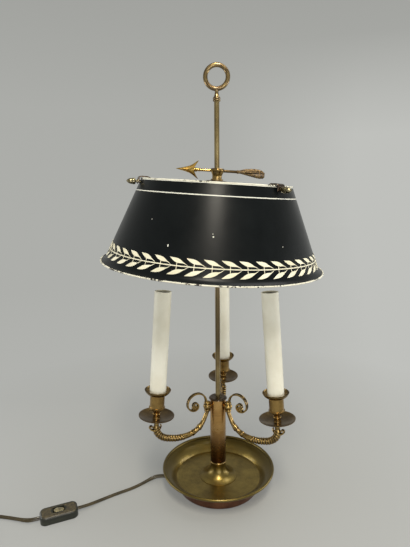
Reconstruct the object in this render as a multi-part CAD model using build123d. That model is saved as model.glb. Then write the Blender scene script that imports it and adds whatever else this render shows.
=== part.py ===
from build123d import *
import os
from math import atan, cos, floor, pi, radians, sin, sqrt, tan

# Bouillotte desk lamp: a dish base and short column carry three scroll arms with candle
# tubes, and a painted metal shade slides on the rod above them. Millimetres, +Z up, origin
# on the table under the middle of the foot. +X is the lamp's right, -Y its front.

# Clearances and fits
running_gap = 0.1
slip_gap = 0.3
seat_gap = 0.05

# Foot and dish
felt_thickness = 2.0
felt_proud = 0.8
foot_top_radius = 68.0
foot_taper = 2.0
foot_height = 12.4
foot_wall = 2.0
ballast_clearance = 4.0
channel_width = 6.4
dish_wall = 1.6
dish_floor_inset = 0.2
dish_floor_step = 0.8
dish_depth = 19.2
dish_rim_radius = 90.4
rim_bead_radius = 2.3
flex_hole_reach = 17.0

# Column
skirt_height = 24.0
skirt_foot_radius = 30.0
skirt_wall = 1.2
ring_height = 2.6
ring_radius = 13.3
ring_lip = 1.6
column_radius = 12.5
column_wall = 1.2
column_length = 106.9
cap_radius = 14.5
cap_height = 3.0
tie_radius = 2.6
tie_bore_radius = 1.2
washer_radius = 11.0
washer_thickness = 1.2
nut_across_flats = 10.0
nut_height = 5.0
recess_radius = 13.5

# Rod and finial
rod_radius = 3.8
rod_length = 447.1
rod_thread_depth = 14.0
finial_ring_radius = 16.0
finial_bar_radius = 3.3
baluster_height = 14.4
baluster_radius = 5.5
finial_stud_radius = 2.0
finial_stud_length = 9.0

# Scroll arms
arm_angles = {"back": 84.6, "left": 207.2, "right": 327.2}
knot_radius = 6.6
knot_drop = 9.8
knot_height = 15.6
arm_reach = 103.9
arm_sag = 41.0
arm_root_radius = 3.6
arm_tip_radius = 4.5
bead_count = 12
bead_radius = 5.6
bead_low_radius = 4.5
bead_slant = 22.0
beads_start = 0.475
beads_end = 0.905
sheath_radius = 5.0
sheath_length = 9.5
stud_radius = 3.0
spigot_radius = 3.0
spigot_bore_radius = 1.3
arm_nut_across_flats = 9.0
arm_nut_height = 2.4
volute_radius = 15.8
volute_width = 5.6
volute_thickness = 2.4
boss_radius = 6.0
boss_width = 6.6

# Drip pans, candle cups and sleeves, along each candle's own axis
candle_lean = 4.7
pan_radius = 26.6
pan_depth = 4.6
pan_wall = 1.2
cup_neck_height = 13.6
cup_neck_radius = 4.9
cup_body_radius = 10.9
cup_body_height = 23.4
cup_wall = 1.1
cup_floor = 1.6
saucer_radius = 19.6
saucer_height = 7.6
sleeve_radius = 12.25
sleeve_wall = 1.2
sleeve_length = 154.4
stalk_radius = 4.6
stalk_foot_radius = 8.2
stalk_foot_height = 5.0
holder_length = 46.0
holder_inset = 2.4
socket_radius = 7.0
socket_depth = 22.0
contact_height = 1.4
contact_well_radius = 5.0
contact_well_depth = 1.6

# Shade, spider and the hub that carries them
shade_rest_height = 484.75
shade_lean_right = 3.9
shade_lean_front = 1.15
shade_top_radius = 109.75
shade_slope = 0.415
shade_height = 119.4
shade_sheet = 0.7
lip_height = 8.8
lip_reach = 9.6
rim_wire_radius = 1.1
spider_angle = 197.0
spider_thickness = 2.0
spider_lift = 1.4
spider_arm_width = 10.0
spider_ring_radius = 13.0
tab_width = 15.0
tab_length = 8.0
tab_thickness = 1.5
tab_standoff = 5.45
hub_head_radius = 10.3
hub_head_height = 5.4
hub_top = 20.8
hub_neck_radius = 7.1
hub_collar_radius = 9.2
hub_collar_height = 1.8
hub_tail = 5.8
locknut_radius = 10.4
locknut_height = 4.2

# Arrow and acorn screws
arrow_shaft_radius = 2.0
arrow_drop = 3.4
arrow_tip_reach = 60.6
barb_reach = 28.0
barb_spread = 13.2
blade_thickness = 1.8
tail_reach = 69.4
tail_start = 30.5
tail_height = 13.0
acorn_radius = 4.5
acorn_length = 12.6
acorn_neck = 3.6
screw_radius = 2.0
screw_drop = 4.4
screw_nut_across_flats = 6.0
screw_nut_height = 2.6

# Lead: a flat twin flex, modelled as a round tube of the flex's width
cord_diameter = 5.8
flex_diameter = 4.4
exit_angle = 176.0
exit_height = 6.5
relief_collar_radius = 5.0
relief_neck_radius = 3.5
relief_tip_radius = 3.3
relief_length = 21.0

# In-line switch
switch_centre = (-235.4, -84.6)
switch_heading = 24.6
switch_length = 53.4
switch_width = 26.0
switch_height = 13.0
switch_corner = 8.5
switch_edge = 3.6
switch_wall = 1.7
rocker_length = 15.4
rocker_width = 10.4
rocker_tilt = 7.0
rocker_pivot_height = 9.0
rocker_pin_radius = 1.0
switch_screw_radius = 1.5
switch_screw_head = 2.8
switch_screw_spacing = 38.0

# Coil of the put-away length, its tie and the plug
coil_centre = (-375.0, -135.0)
coil_outer_radius = 44.95
coil_pitch = 6.25
coil_turns_per_layer = 3.25
tie_band_thickness = 0.6
tie_band_width = 7.0
tie_angle = 135.0
plug_heading = 155.0
plug_width = 35.3
plug_thickness = 13.7
plug_length = 36.0
plug_tail_width = 13.0
pin_radius = 2.0
pin_length = 19.0
pin_spacing = 18.6
pin_seat = 8.0
pin_shank_radius = 1.5
pin_tip = 1.0

# Radii and heights that follow from the sizes above
foot_radius = foot_top_radius - foot_taper
ballast_radius = foot_radius - foot_wall - ballast_clearance
dish_floor_radius = foot_top_radius - dish_floor_inset
dish_seat = felt_proud + foot_height
dish_floor = dish_seat + dish_wall
dish_rim = dish_floor + dish_depth
skirt_top = dish_floor + skirt_height
column_foot = skirt_top + ring_height
column_top = column_foot + column_length
cap_top = column_top + cap_height
rod_top = cap_top + rod_length
column_bore = column_radius - column_wall
ring_bore = column_bore - ring_lip
knot_reach = column_radius + knot_radius - slip_gap
knot_height_z = column_top - knot_drop
tie_hole_radius = tie_radius + running_gap
nut_seat = dish_seat - 4.7

# Stations along a candle's axis, from the arm's end face
cup_foot = pan_wall
cup_body_foot = cup_foot + cup_neck_height
cup_floor_top = cup_body_foot + cup_floor
cup_body_top = cup_body_foot + cup_body_height
cup_shoulder = cup_body_top + 1.4
cup_rim = cup_body_top + saucer_height
sleeve_top = cup_shoulder + sleeve_length
holder_top = sleeve_top - holder_inset
holder_foot = holder_top - holder_length
stud_top = cup_floor_top + stalk_foot_height
sleeve_bore = sleeve_radius - sleeve_wall
stud_hole_radius = stud_radius + running_gap

# Stations along the shade's own axis, from the middle of its top rim
spider_foot = spider_lift
spider_top = spider_foot + spider_thickness
collar_foot = spider_top + slip_gap
collar_top = collar_foot + hub_collar_height
locknut_top = spider_foot - slip_gap
hub_foot = -hub_tail
tab_reach = shade_top_radius + tab_standoff
hub_middle = (hub_top + hub_foot) / 2
arrow_station = hub_top - arrow_drop
shade_tilt = atan(sqrt(tan(radians(shade_lean_right)) ** 2 + tan(radians(shade_lean_front)) ** 2))
hub_bore = rod_radius / cos(shade_tilt) + (hub_top - hub_foot) / 2 * tan(shade_tilt) + running_gap
spider_bore = hub_neck_radius + 2 * running_gap
shade_frame = (
    Pos(0, 0, shade_rest_height + hub_middle)
    * Rot(shade_lean_front, shade_lean_right, 0)
    * Pos(0, 0, -hub_middle)
)

# Cord stations
exit_direction = Vector(cos(radians(exit_angle)), sin(radians(exit_angle)), 0)
foot_slope = foot_taper / foot_height
relief_seat = foot_radius + foot_slope * (exit_height + relief_collar_radius - felt_proud) + running_gap
relief_inner_collar = exit_height - felt_thickness - slip_gap
relief_inner_seat = sqrt((foot_radius - foot_wall) ** 2 - relief_inner_collar ** 2) - seat_gap
relief_inner_end = relief_inner_seat - 2.2
relief_end = relief_seat + relief_length
switch_direction = Vector(cos(radians(switch_heading)), sin(radians(switch_heading)), 0)
cord_rest_height = cord_diameter / 2 + 0.05


def outline(*points):
    """Closed face with straight sides, from (across, along) points."""
    return make_face(Polyline(*points, close=True))


def turned(face):
    """Solid turned about Z from a face drawn as (radius, height)."""
    return revolve(Plane.XZ * face, Axis.Z)


def tube(outer_radius, inner_radius, low, high):
    """Plain ring or tube between two heights."""
    return turned(outline((inner_radius, low), (outer_radius, low), (outer_radius, high), (inner_radius, high)))


def round_bar(radius, low, high):
    """Plain round bar between two heights."""
    return Pos(0, 0, (low + high) / 2) * Cylinder(radius, high - low)


def hexagon_nut(across_flats, bore_radius, low, high):
    """Hexagon nut between two heights."""
    blank = extrude(RegularPolygon(across_flats / 2 / cos(pi / 6), 6), high - low)
    return Pos(0, 0, low) * blank - round_bar(bore_radius, low - 1, high + 1)


# Foot and dish

def base_felt():
    return round_bar(foot_radius - foot_wall - slip_gap, 0, felt_thickness)


def ballast_weight():
    """Iron disc, clamped up against the dish, with a channel for the supply flex."""
    disc = round_bar(ballast_radius, felt_thickness, dish_seat)
    disc -= round_bar(tie_hole_radius, 0, dish_seat + 1)
    disc -= round_bar(recess_radius, 0, nut_seat)
    reach = recess_radius - 1
    channel = Pos(reach + ballast_radius / 2, 0, dish_seat / 2) * Box(ballast_radius, channel_width, 2 * dish_seat)
    return disc - Rot(0, 0, exit_angle) * channel


def foot_drum():
    """Turned drum under the dish, slightly wider at its top, with the relief's hole."""
    bottom_bore = foot_radius - foot_wall
    top_bore = foot_top_radius - foot_wall
    wall = outline(
        (bottom_bore, felt_proud), (foot_radius - 0.6, felt_proud), (foot_radius, felt_proud + 1.2),
        (foot_top_radius, dish_seat), (top_bore, dish_seat),
    )
    hole = Rot(0, 90, 0) * Pos(0, 0, foot_radius) * Cylinder(relief_neck_radius + running_gap, 4 * foot_wall)
    return turned(wall) - Rot(0, 0, exit_angle) * Pos(0, 0, exit_height) * hole


def base_dish():
    """Spun dish: flat floor with a fine step, concave flaring wall and a rolled rim."""
    bead_centre = (dish_rim_radius - rim_bead_radius, dish_rim - rim_bead_radius)
    wall_top = (bead_centre[0] - 1.4, bead_centre[1] - 1.2)
    rise = wall_top[1] - dish_floor
    flare = wall_top[0] - dish_floor_radius
    inner_mid = (dish_floor_radius + 0.36 * flare, dish_floor + 0.58 * rise)
    outer_mid = (inner_mid[0] + dish_wall, inner_mid[1] - 0.5 * dish_wall)
    outer_top = (wall_top[0] + dish_wall, wall_top[1] - dish_wall)
    step = dish_floor_radius - 1.6
    bore = (tie_hole_radius, dish_seat)
    lines = Polyline(
        (step, dish_floor - dish_floor_step * 0.6), (step, dish_floor), (dish_floor_radius, dish_floor),
    )
    lines += ThreePointArc((dish_floor_radius, dish_floor), inner_mid, wall_top)
    lines += Line(wall_top, outer_top)
    lines += ThreePointArc(outer_top, outer_mid, (dish_floor_radius, dish_seat))
    lines += Polyline(
        (dish_floor_radius, dish_seat), bore, (tie_hole_radius, dish_floor - dish_floor_step * 0.6),
        (step, dish_floor - dish_floor_step * 0.6),
    )
    bead = Pos(bead_centre[0], bead_centre[1]) * Circle(rim_bead_radius)
    dish = turned(make_face(lines) + bead)
    flex_hole = Pos(flex_hole_reach, 0, dish_floor) * Cylinder(flex_diameter / 2 + slip_gap, 4 * dish_wall)
    return dish - Rot(0, 0, exit_angle) * flex_hole


# Column

def tie_tube():
    """Threaded tube from the nut under the ballast up into the rod."""
    return tube(tie_radius, tie_bore_radius, felt_thickness + slip_gap, cap_top + rod_thread_depth - 1)


def tie_washer():
    return tube(washer_radius, tie_hole_radius, nut_seat - washer_thickness, nut_seat)


def tie_nut():
    top = nut_seat - washer_thickness
    return hexagon_nut(nut_across_flats, tie_radius + seat_gap, top - nut_height, top)


def column_skirt():
    """Bell that hides the dish's middle and carries the column's ring."""
    seat = dish_floor - dish_floor_step * 0.6
    top_radius = ring_radius - 1.0
    reach = skirt_foot_radius - top_radius
    rise = skirt_top - seat
    outer_mid = (top_radius + 0.27 * reach, seat + 0.34 * rise)
    inner_mid = (outer_mid[0] - skirt_wall, outer_mid[1] - 0.8 * skirt_wall)
    lines = Polyline(
        (skirt_foot_radius - 2 * skirt_wall, seat), (skirt_foot_radius, seat), (skirt_foot_radius, seat + 0.7),
    )
    lines += ThreePointArc((skirt_foot_radius, seat + 0.7), outer_mid, (top_radius, skirt_top))
    lines += Line((top_radius, skirt_top), (top_radius - skirt_wall, skirt_top))
    lines += ThreePointArc(
        (top_radius - skirt_wall, skirt_top), inner_mid, (skirt_foot_radius - 2 * skirt_wall, seat),
    )
    return turned(make_face(lines))


def column_ring():
    """Rounded ring with a rebate that centres the column."""
    half = ring_height / 2
    seat = ring_radius - 1.0
    lip_top = column_foot + ring_lip
    lines = Polyline(
        (seat, skirt_top), (ring_bore, skirt_top), (ring_bore, lip_top),
        (column_bore - running_gap, lip_top), (column_bore - running_gap, column_foot),
        (seat, column_foot),
    )
    lines += ThreePointArc((seat, column_foot), (ring_radius, skirt_top + half), (seat, skirt_top))
    return turned(make_face(lines))


def column_tube():
    """Brass tube with a hole for each arm's spigot."""
    column = tube(column_radius, column_bore, column_foot, column_top)
    for angle in arm_angles.values():
        hole = Rot(0, 90, 0) * Pos(0, 0, column_radius) * Cylinder(spigot_radius + running_gap, 4 * column_wall)
        column -= Rot(0, 0, angle) * Pos(0, 0, knot_height_z) * hole
    return column


def column_cap():
    """Low domed cap with a spigot inside the column."""
    lines = Polyline(
        (cap_radius - 1.4, column_top), (column_bore - running_gap, column_top),
        (column_bore - running_gap, column_top - 2.4), (tie_hole_radius, column_top - 2.4),
        (tie_hole_radius, cap_top), (cap_radius - 4.0, cap_top),
    )
    lines += ThreePointArc(
        (cap_radius - 4.0, cap_top), (cap_radius - 0.9, cap_top - 0.9), (cap_radius, cap_top - 2.0),
    )
    lines += Line((cap_radius, cap_top - 2.0), (cap_radius - 1.4, column_top))
    return turned(make_face(lines))


# Rod and finial

def rod():
    """Tall rod, bored at its foot for the threaded tube and at its top for the finial."""
    bar = round_bar(rod_radius, cap_top, rod_top)
    bar -= round_bar(tie_radius + seat_gap, cap_top - 1, cap_top + rod_thread_depth)
    return bar - round_bar(finial_stud_radius + running_gap, rod_top - finial_stud_length - 1, rod_top + 1)


def finial_ring():
    """Cast ring on a small baluster with a threaded stud."""
    neck = 2.7
    ring_low = rod_top + baluster_height
    foot_bead = baluster_radius + 0.1
    groove = baluster_radius - 0.8
    lines = Polyline(
        (0, ring_low + finial_bar_radius), (0, rod_top - finial_stud_length),
        (finial_stud_radius, rod_top - finial_stud_length), (finial_stud_radius, rod_top),
        (rod_radius, rod_top),
    )
    lines += ThreePointArc((rod_radius, rod_top), (foot_bead, rod_top + 1.3), (groove, rod_top + 2.5))
    lines += ThreePointArc(
        (groove, rod_top + 2.5), (baluster_radius, rod_top + 4.3), (groove - 0.3, rod_top + 6.0),
    )
    lines += ThreePointArc(
        (groove - 0.3, rod_top + 6.0), (neck + 0.6, rod_top + 8.6), (neck, ring_low - 1.4),
    )
    lines += Polyline((neck, ring_low - 1.4), (neck + 0.4, ring_low + 1.0), (0, ring_low + finial_bar_radius))
    ring = Rot(90, 0, 0) * Torus(finial_ring_radius, finial_bar_radius)
    centre = ring_low + finial_bar_radius + finial_ring_radius - 0.4
    return turned(make_face(lines)) + Pos(0, 0, centre) * ring


# Scroll arms, drawn in the (reach, height) plane and then turned to their angles

def arm_point(across, down):
    """Point of the arm's plane: across from the knot to the cup, down by shares of the sag."""
    return (knot_reach + across * (arm_reach - knot_reach), 0, knot_height_z - down * arm_sag)


def arm_path():
    """Centre line of the main scroll, from under the knot to the drip pan."""
    shape = [
        (0.0, 0.14), (0.03, 0.32), (0.135, 0.70), (0.30, 0.93), (0.50, 1.0), (0.72, 0.945),
        (0.925, 0.75), (1.005, 0.47), (1.0, 0.2), (1.0, 0.05),
    ]
    return Spline([arm_point(*pair) for pair in shape])


def path_frame(path, share, slant=0.0):
    """Frame on the arm's centre line, its Z along the line or leaning from it by the slant."""
    along = (path % share).rotate(Axis.Y, slant)
    return Plane(origin=path @ share, x_dir=(0, 1, 0), z_dir=along)


def tapering_bar(path, stations):
    """Smooth round bar along the centre line, from (share, radius) stations."""
    return loft([path_frame(path, share) * Circle(radius) for share, radius in stations])


def gadroon_beads(path):
    """Leaning beads that grow towards the cup, each let into the next."""
    span = beads_end - beads_start
    half = 0.54 * span * path.length / bead_count
    beads = []
    for bead in range(bead_count):
        grow = 0.86 + 0.14 * bead / bead_count
        low = grow * bead_low_radius
        shape = turned(outline((0, -half), (low, -half), (grow * bead_radius, 0), (low, half), (0, half)))
        beads.append(path_frame(path, beads_start + span * (bead + 0.5) / bead_count, bead_slant) * shape)
    return beads


def leaf_sheaths(path):
    """Two flaring collars on the descending stretch."""
    collar = Cone(3.1, sheath_radius, sheath_length)
    return [path_frame(path, share, -bead_slant / 3) * collar for share in (0.195, 0.285)]


def arm_knot():
    """Two stacked beads that seat against the column."""
    low = knot_height_z - knot_height / 2
    high = knot_height_z + knot_height / 2
    waist = knot_height_z - 1.2
    lines = Polyline((3.8, high), (0, high), (0, low), (3.8, low))
    lines += ThreePointArc((3.8, low), (knot_radius - 1.0, (low + waist) / 2), (4.6, waist))
    lines += ThreePointArc((4.6, waist), (knot_radius, (high + waist) / 2), (3.8, high))
    return Pos(knot_reach, 0, 0) * turned(make_face(lines))


def arm_volute():
    """Upper C scroll: a ridged strap of three tangent arcs that ends in a round boss."""
    start = (knot_reach + 2.4, 0, knot_height_z + 9.0)
    top_centre = start[0] + volute_radius
    low_radius = 0.7 * volute_radius
    end_radius = 0.43 * volute_radius
    level = start[2]
    low_centre = top_centre + volute_radius - low_radius
    first = CenterArc((top_centre, level, 0), volute_radius, 180, -180)
    second = CenterArc((low_centre, level, 0), low_radius, 0, -90)
    third = CenterArc((low_centre, level - low_radius + end_radius, 0), end_radius, -90, -80)
    rise = Line((start[0], level - 5.5), (start[0], level))
    path = Plane.XZ * (rise + first + second + third)
    half = volute_width / 2
    edge = volute_thickness / 4
    ridge = volute_thickness / 2
    section = outline((-half, -edge), (0, -ridge), (half, -edge), (half, edge), (0, ridge), (-half, edge))
    strap = sweep(Plane(origin=path @ 0, x_dir=(0, 1, 0), z_dir=path % 0) * section, path=path)
    boss_centre = (low_centre - 0.9, 0, level - low_radius + end_radius + 0.7)
    rim = boss_width / 2
    button = outline(
        (0, -rim + 0.8), (boss_radius * 0.4, -rim + 0.8), (boss_radius * 0.6, -rim), (boss_radius - 1.0, -rim),
        (boss_radius, -rim + 1.2), (boss_radius, rim - 1.2), (boss_radius - 1.0, rim),
        (boss_radius * 0.6, rim), (boss_radius * 0.4, rim - 0.8), (0, rim - 0.8),
    )
    return strap + Pos(*boss_centre) * Rot(90, 0, 0) * turned(button)


def scroll_arm(angle):
    """Cast arm: knot, tapering scroll, leaf sheaths, gadroon beads, curl, volute and studs."""
    path = arm_path()
    arm = tapering_bar(path, [
        (0.0, arm_root_radius), (0.12, 3.3), (0.3, 3.9), (0.46, 4.3), (0.54, bead_low_radius - 0.3),
    ])
    arm += gadroon_beads(path)
    arm += leaf_sheaths(path)
    arm += tapering_bar(path, [
        (beads_end - 0.07, arm_tip_radius - 1.2), (beads_end + 0.02, arm_tip_radius - 0.5), (1.0, arm_tip_radius),
    ])

    # Small leaf inside the bend, and a curl outside it
    bend = path @ 0.83
    leaf = Cone(2.3, 0.7, 13, align=(Align.CENTER, Align.CENTER, Align.MIN))
    arm += Pos(bend.X - 3.2, 0, bend.Z + 2.6) * Rot(0, -38, 0) * leaf
    curl = path @ 0.9
    arm += Pos(curl.X + 6.6, 0, curl.Z + 2.6) * Rot(90, 0, 0) * Cylinder(3.2, 5.0)

    # Knot, volute, flange under the pan and the stud that holds pan, cup and holder
    arm += arm_knot()
    arm += arm_volute()
    seat = candle_seat()
    flange = outline((0, -6.0), (arm_tip_radius - 1.6, -6.0), (6.4, -1.0), (6.4, 0), (0, 0))
    arm += seat * turned(flange)
    arm += seat * round_bar(stud_radius, -1, stud_top)

    # Spigot through the column's wall, bored for the leads
    inner_reach = column_bore - 4.2
    spigot = Rot(0, 90, 0) * round_bar(spigot_radius, inner_reach, knot_reach)
    bore = Rot(0, 90, 0) * round_bar(spigot_bore_radius, inner_reach - 1, column_radius)
    arm -= round_bar(column_radius + seat_gap, 0, 2 * column_top)
    arm += Pos(0, 0, knot_height_z) * spigot
    arm -= Pos(0, 0, knot_height_z) * bore
    return Rot(0, 0, angle) * arm


def candle_seat():
    """Frame of a candle in the arm's plane: its axis leans in over the column."""
    return Pos(arm_reach, 0, knot_height_z - 0.01 * arm_sag) * Rot(0, -candle_lean, 0)


def arm_nuts():
    """Three nuts inside the column, one on each arm's spigot."""
    outer = sqrt(column_bore ** 2 - (arm_nut_across_flats / 2 / cos(pi / 6)) ** 2) - seat_gap
    nut = hexagon_nut(arm_nut_across_flats, spigot_radius + seat_gap, outer - arm_nut_height, outer)
    nut = Pos(0, 0, knot_height_z) * Rot(0, 90, 0) * nut
    return Compound([Rot(0, 0, angle) * nut for angle in arm_angles.values()])


# Drip pan, candle cup, stalk, lampholder and sleeve, each about the candle's axis

def drip_pan():
    """Shallow turned pan with a fine raised edge."""
    flat = 8.0
    lip = (pan_radius, pan_wall + pan_depth)
    lines = Polyline((flat, 0), (stud_hole_radius, 0), (stud_hole_radius, pan_wall), (flat, pan_wall))
    lines += ThreePointArc((flat, pan_wall), (0.62 * pan_radius, pan_wall + 0.30 * pan_depth), (lip[0] - 1.0, lip[1]))
    lines += Polyline((lip[0] - 1.0, lip[1]), lip, (lip[0], lip[1] - 1.0))
    lines += ThreePointArc((lip[0], lip[1] - 1.0), (0.62 * pan_radius + 0.4, 0.30 * pan_depth), (flat, 0))
    return turned(make_face(lines))


def candle_cup():
    """Turned cup: beaded neck, plain body with a low lip, and a flared saucer rim."""
    inner = cup_body_radius - cup_wall
    shoulder = sleeve_radius + slip_gap
    neck = cup_neck_radius
    mid = cup_foot + 0.5 * cup_neck_height
    lip = cup_body_foot + 3.6
    edge = 0.9
    lines = Polyline((neck + 1.0, cup_foot), (stud_hole_radius, cup_foot), (stud_hole_radius, cup_floor_top))
    lines += Polyline(
        (stud_hole_radius, cup_floor_top), (inner, cup_floor_top), (inner, cup_shoulder),
        (shoulder, cup_shoulder), (shoulder, cup_shoulder + 0.6),
    )
    lines += ThreePointArc(
        (shoulder, cup_shoulder + 0.6), (shoulder + 4.2, cup_rim - 3.4), (saucer_radius - edge, cup_rim),
    )
    lines += Line((saucer_radius - edge, cup_rim), (saucer_radius, cup_rim - 0.4))
    lines += ThreePointArc(
        (saucer_radius, cup_rim - 0.4), (shoulder + 4.2, cup_rim - 5.2), (cup_body_radius, cup_body_top - 0.6),
    )
    lines += Polyline(
        (cup_body_radius, cup_body_top - 0.6), (cup_body_radius, lip + 0.6), (cup_body_radius + 1.1, lip + 0.2),
        (cup_body_radius + 1.1, lip - 0.6), (cup_body_radius - 0.3, lip - 0.8),
    )
    lines += ThreePointArc(
        (cup_body_radius - 0.3, lip - 0.8), (cup_body_radius - 1.0, cup_body_foot + 0.8),
        (cup_body_radius - 3.0, cup_body_foot),
    )
    lines += ThreePointArc((cup_body_radius - 3.0, cup_body_foot), (neck + 0.9, mid + 4.4), (neck, mid + 1.4))
    lines += ThreePointArc((neck, mid + 1.4), (neck + 1.3, mid), (neck, mid - 1.4))
    lines += ThreePointArc((neck, mid - 1.4), (neck + 0.2, cup_foot + 2.6), (neck + 1.0, cup_foot))
    return turned(make_face(lines))


def holder_stalk():
    """Hexagon foot on the stud and the tube that lifts the lampholder."""
    foot = hexagon_nut(2 * stalk_foot_radius * cos(pi / 6), stud_radius + seat_gap, cup_floor_top, stud_top)
    return foot + tube(stalk_radius, stud_radius + seat_gap, stud_top - 1, holder_foot + 4)


def lampholder():
    """E14 lampholder body: a socket above, and a collar that slips over the stalk."""
    body = sleeve_bore - slip_gap
    seat = holder_foot + 4
    socket_foot = holder_top - socket_depth
    well_floor = socket_foot - contact_well_depth
    return turned(outline(
        (stalk_radius + running_gap, holder_foot), (stalk_radius + 2.4, holder_foot),
        (stalk_radius + 2.4, holder_foot + 7), (body, holder_foot + 11), (body, holder_top - 0.8),
        (body - 0.8, holder_top), (socket_radius, holder_top), (socket_radius, socket_foot),
        (contact_well_radius, socket_foot), (contact_well_radius, well_floor), (2.2, well_floor),
        (2.2, well_floor + contact_height), (0, well_floor + contact_height), (0, seat),
        (stalk_radius + running_gap, seat),
    ))


def candle_sleeve():
    """Cream tube with a softly broken top edge."""
    return turned(outline(
        (sleeve_bore, cup_shoulder), (sleeve_radius, cup_shoulder), (sleeve_radius, sleeve_top - 0.5),
        (sleeve_radius - 0.3, sleeve_top), (sleeve_bore + 0.2, sleeve_top), (sleeve_bore, sleeve_top - 0.4),
    ))


# Shade and its carrier, drawn about the shade's own axis

def shade_radius(station):
    """Outer radius of the cone at a station on the shade's axis, zero at the top rim."""
    return shade_top_radius - shade_slope * station


def shade():
    """Sheet-metal cone with wired rims and a flared lip, with a hole for each acorn screw."""
    sheet = shade_sheet / cos(atan(shade_slope))
    low = -shade_height
    lip_start = low + lip_height
    outer = shade_radius(lip_start)
    hem = outer + lip_reach - rim_wire_radius
    mid = (outer + 0.42 * lip_reach, lip_start - 0.58 * lip_height)
    lines = Polyline((shade_top_radius - sheet, 0), (shade_top_radius, 0), (outer, lip_start))
    lines += ThreePointArc((outer, lip_start), mid, (hem, low + rim_wire_radius + 0.4))
    lines += Line((hem, low + rim_wire_radius + 0.4), (hem - 0.4, low + rim_wire_radius - 0.5))
    lines += ThreePointArc(
        (hem - 0.4, low + rim_wire_radius - 0.5), (mid[0] - sheet, mid[1] - 0.3 * sheet), (outer - sheet, lip_start),
    )
    lines += Line((outer - sheet, lip_start), (shade_top_radius - sheet, 0))
    top_wire = Pos(shade_top_radius - sheet / 2, 0) * Circle(rim_wire_radius)
    low_wire = Pos(hem, low + rim_wire_radius) * Circle(rim_wire_radius)
    shell = turned(make_face(lines) + top_wire + low_wire)
    for screw in screw_frames():
        shell -= screw * Cylinder(screw_radius + running_gap, 30)
    return shell


def screw_frames():
    """Frames of the three acorn screws: Z runs outwards, the tab's outer face at zero."""
    return [
        Rot(0, 0, spider_angle + 120 * turn) * Pos(tab_reach, 0, -screw_drop) * Rot(0, 90, 0)
        for turn in range(3)
    ]


def shade_spider():
    """Ring and three flat arms, each with a tab bent down over the shade's rim."""
    spider = tube(spider_ring_radius, spider_bore, spider_foot, spider_top)
    reach = tab_reach - spider_ring_radius + 2
    middle = (spider_foot + spider_top) / 2
    for turn in range(3):
        arm = Pos(tab_reach - reach / 2, 0, middle) * Box(reach, spider_arm_width, spider_thickness)
        head = Pos(tab_reach - 5, 0, middle) * Box(10, tab_width, spider_thickness)
        tab_middle = spider_top - (tab_length + spider_thickness) / 2
        tab = Pos(tab_reach - tab_thickness / 2, 0, tab_middle) * Box(tab_thickness, tab_width, tab_length + spider_thickness)
        spider += Rot(0, 0, spider_angle + 120 * turn) * (arm + head + tab)
    for screw in screw_frames():
        spider -= screw * Cylinder(screw_radius + running_gap, 30)
    return spider


def carrier_hub():
    """Turned hub that slides on the rod: capital head, waisted neck, collar and threaded tail."""
    head_foot = hub_top - hub_head_height
    lines = Polyline(
        (hub_neck_radius, collar_foot), (hub_neck_radius, hub_foot), (hub_bore, hub_foot),
        (hub_bore, hub_top), (hub_head_radius - 1.2, hub_top),
    )
    lines += ThreePointArc(
        (hub_head_radius - 1.2, hub_top), (hub_head_radius, hub_top - 1.4), (hub_head_radius - 0.2, head_foot + 1.0),
    )
    lines += ThreePointArc(
        (hub_head_radius - 0.2, head_foot + 1.0), (hub_neck_radius + 1.1, head_foot - 1.8),
        (hub_neck_radius, collar_top + 2.6),
    )
    lines += Polyline(
        (hub_neck_radius, collar_top + 2.6), (hub_neck_radius, collar_top), (hub_collar_radius, collar_top),
        (hub_collar_radius, collar_foot), (hub_neck_radius, collar_foot),
    )
    hole = Pos(0, 0, arrow_station) * Rot(0, 90, 0) * Cylinder(arrow_shaft_radius + running_gap, 3 * hub_head_radius)
    return turned(make_face(lines)) - hole


def hub_locknut():
    """Ring nut under the spider, with a chamfered edge."""
    low = locknut_top - locknut_height
    return turned(outline(
        (hub_neck_radius + running_gap, low), (locknut_radius - 1.0, low), (locknut_radius, low + 1.0),
        (locknut_radius, locknut_top - 0.5), (locknut_radius - 0.5, locknut_top),
        (hub_neck_radius + running_gap, locknut_top),
    ))


def arrow_screw():
    """Arrow head and shaft: the hub's clamp screw, its point just clear of the rod."""
    point = hub_bore - slip_gap / 3
    half = blade_thickness / 2
    root = barb_reach + 5.2
    upper = [
        (-arrow_tip_reach, 0), (-0.67 * arrow_tip_reach, 0.40 * barb_spread), (-root - 0.6, 0.71 * barb_spread),
        (-barb_reach, barb_spread), (-barb_reach - 0.6, barb_spread - 1.4), (-root, 0.30 * barb_spread),
        (-root - 1.6, 0),
    ]
    blade_half = extrude(Plane.XZ.offset(-half) * outline(*upper), blade_thickness)
    blade = blade_half + mirror(blade_half, Plane.XY)
    ridge_length = arrow_tip_reach - root - 2
    ridge = Pos(-root, 0, 0) * Rot(0, -90, 0) * Cone(
        arrow_shaft_radius + 1.3, 0.5, ridge_length, align=(Align.CENTER, Align.CENTER, Align.MIN),
    )
    shaft = Rot(0, -90, 0) * round_bar(arrow_shaft_radius, point, root + 1)
    collar = Rot(0, -90, 0) * round_bar(arrow_shaft_radius + 0.7, root - 2.2, root)
    return Pos(0, 0, arrow_station) * (blade + ridge + shaft + collar)


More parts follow.
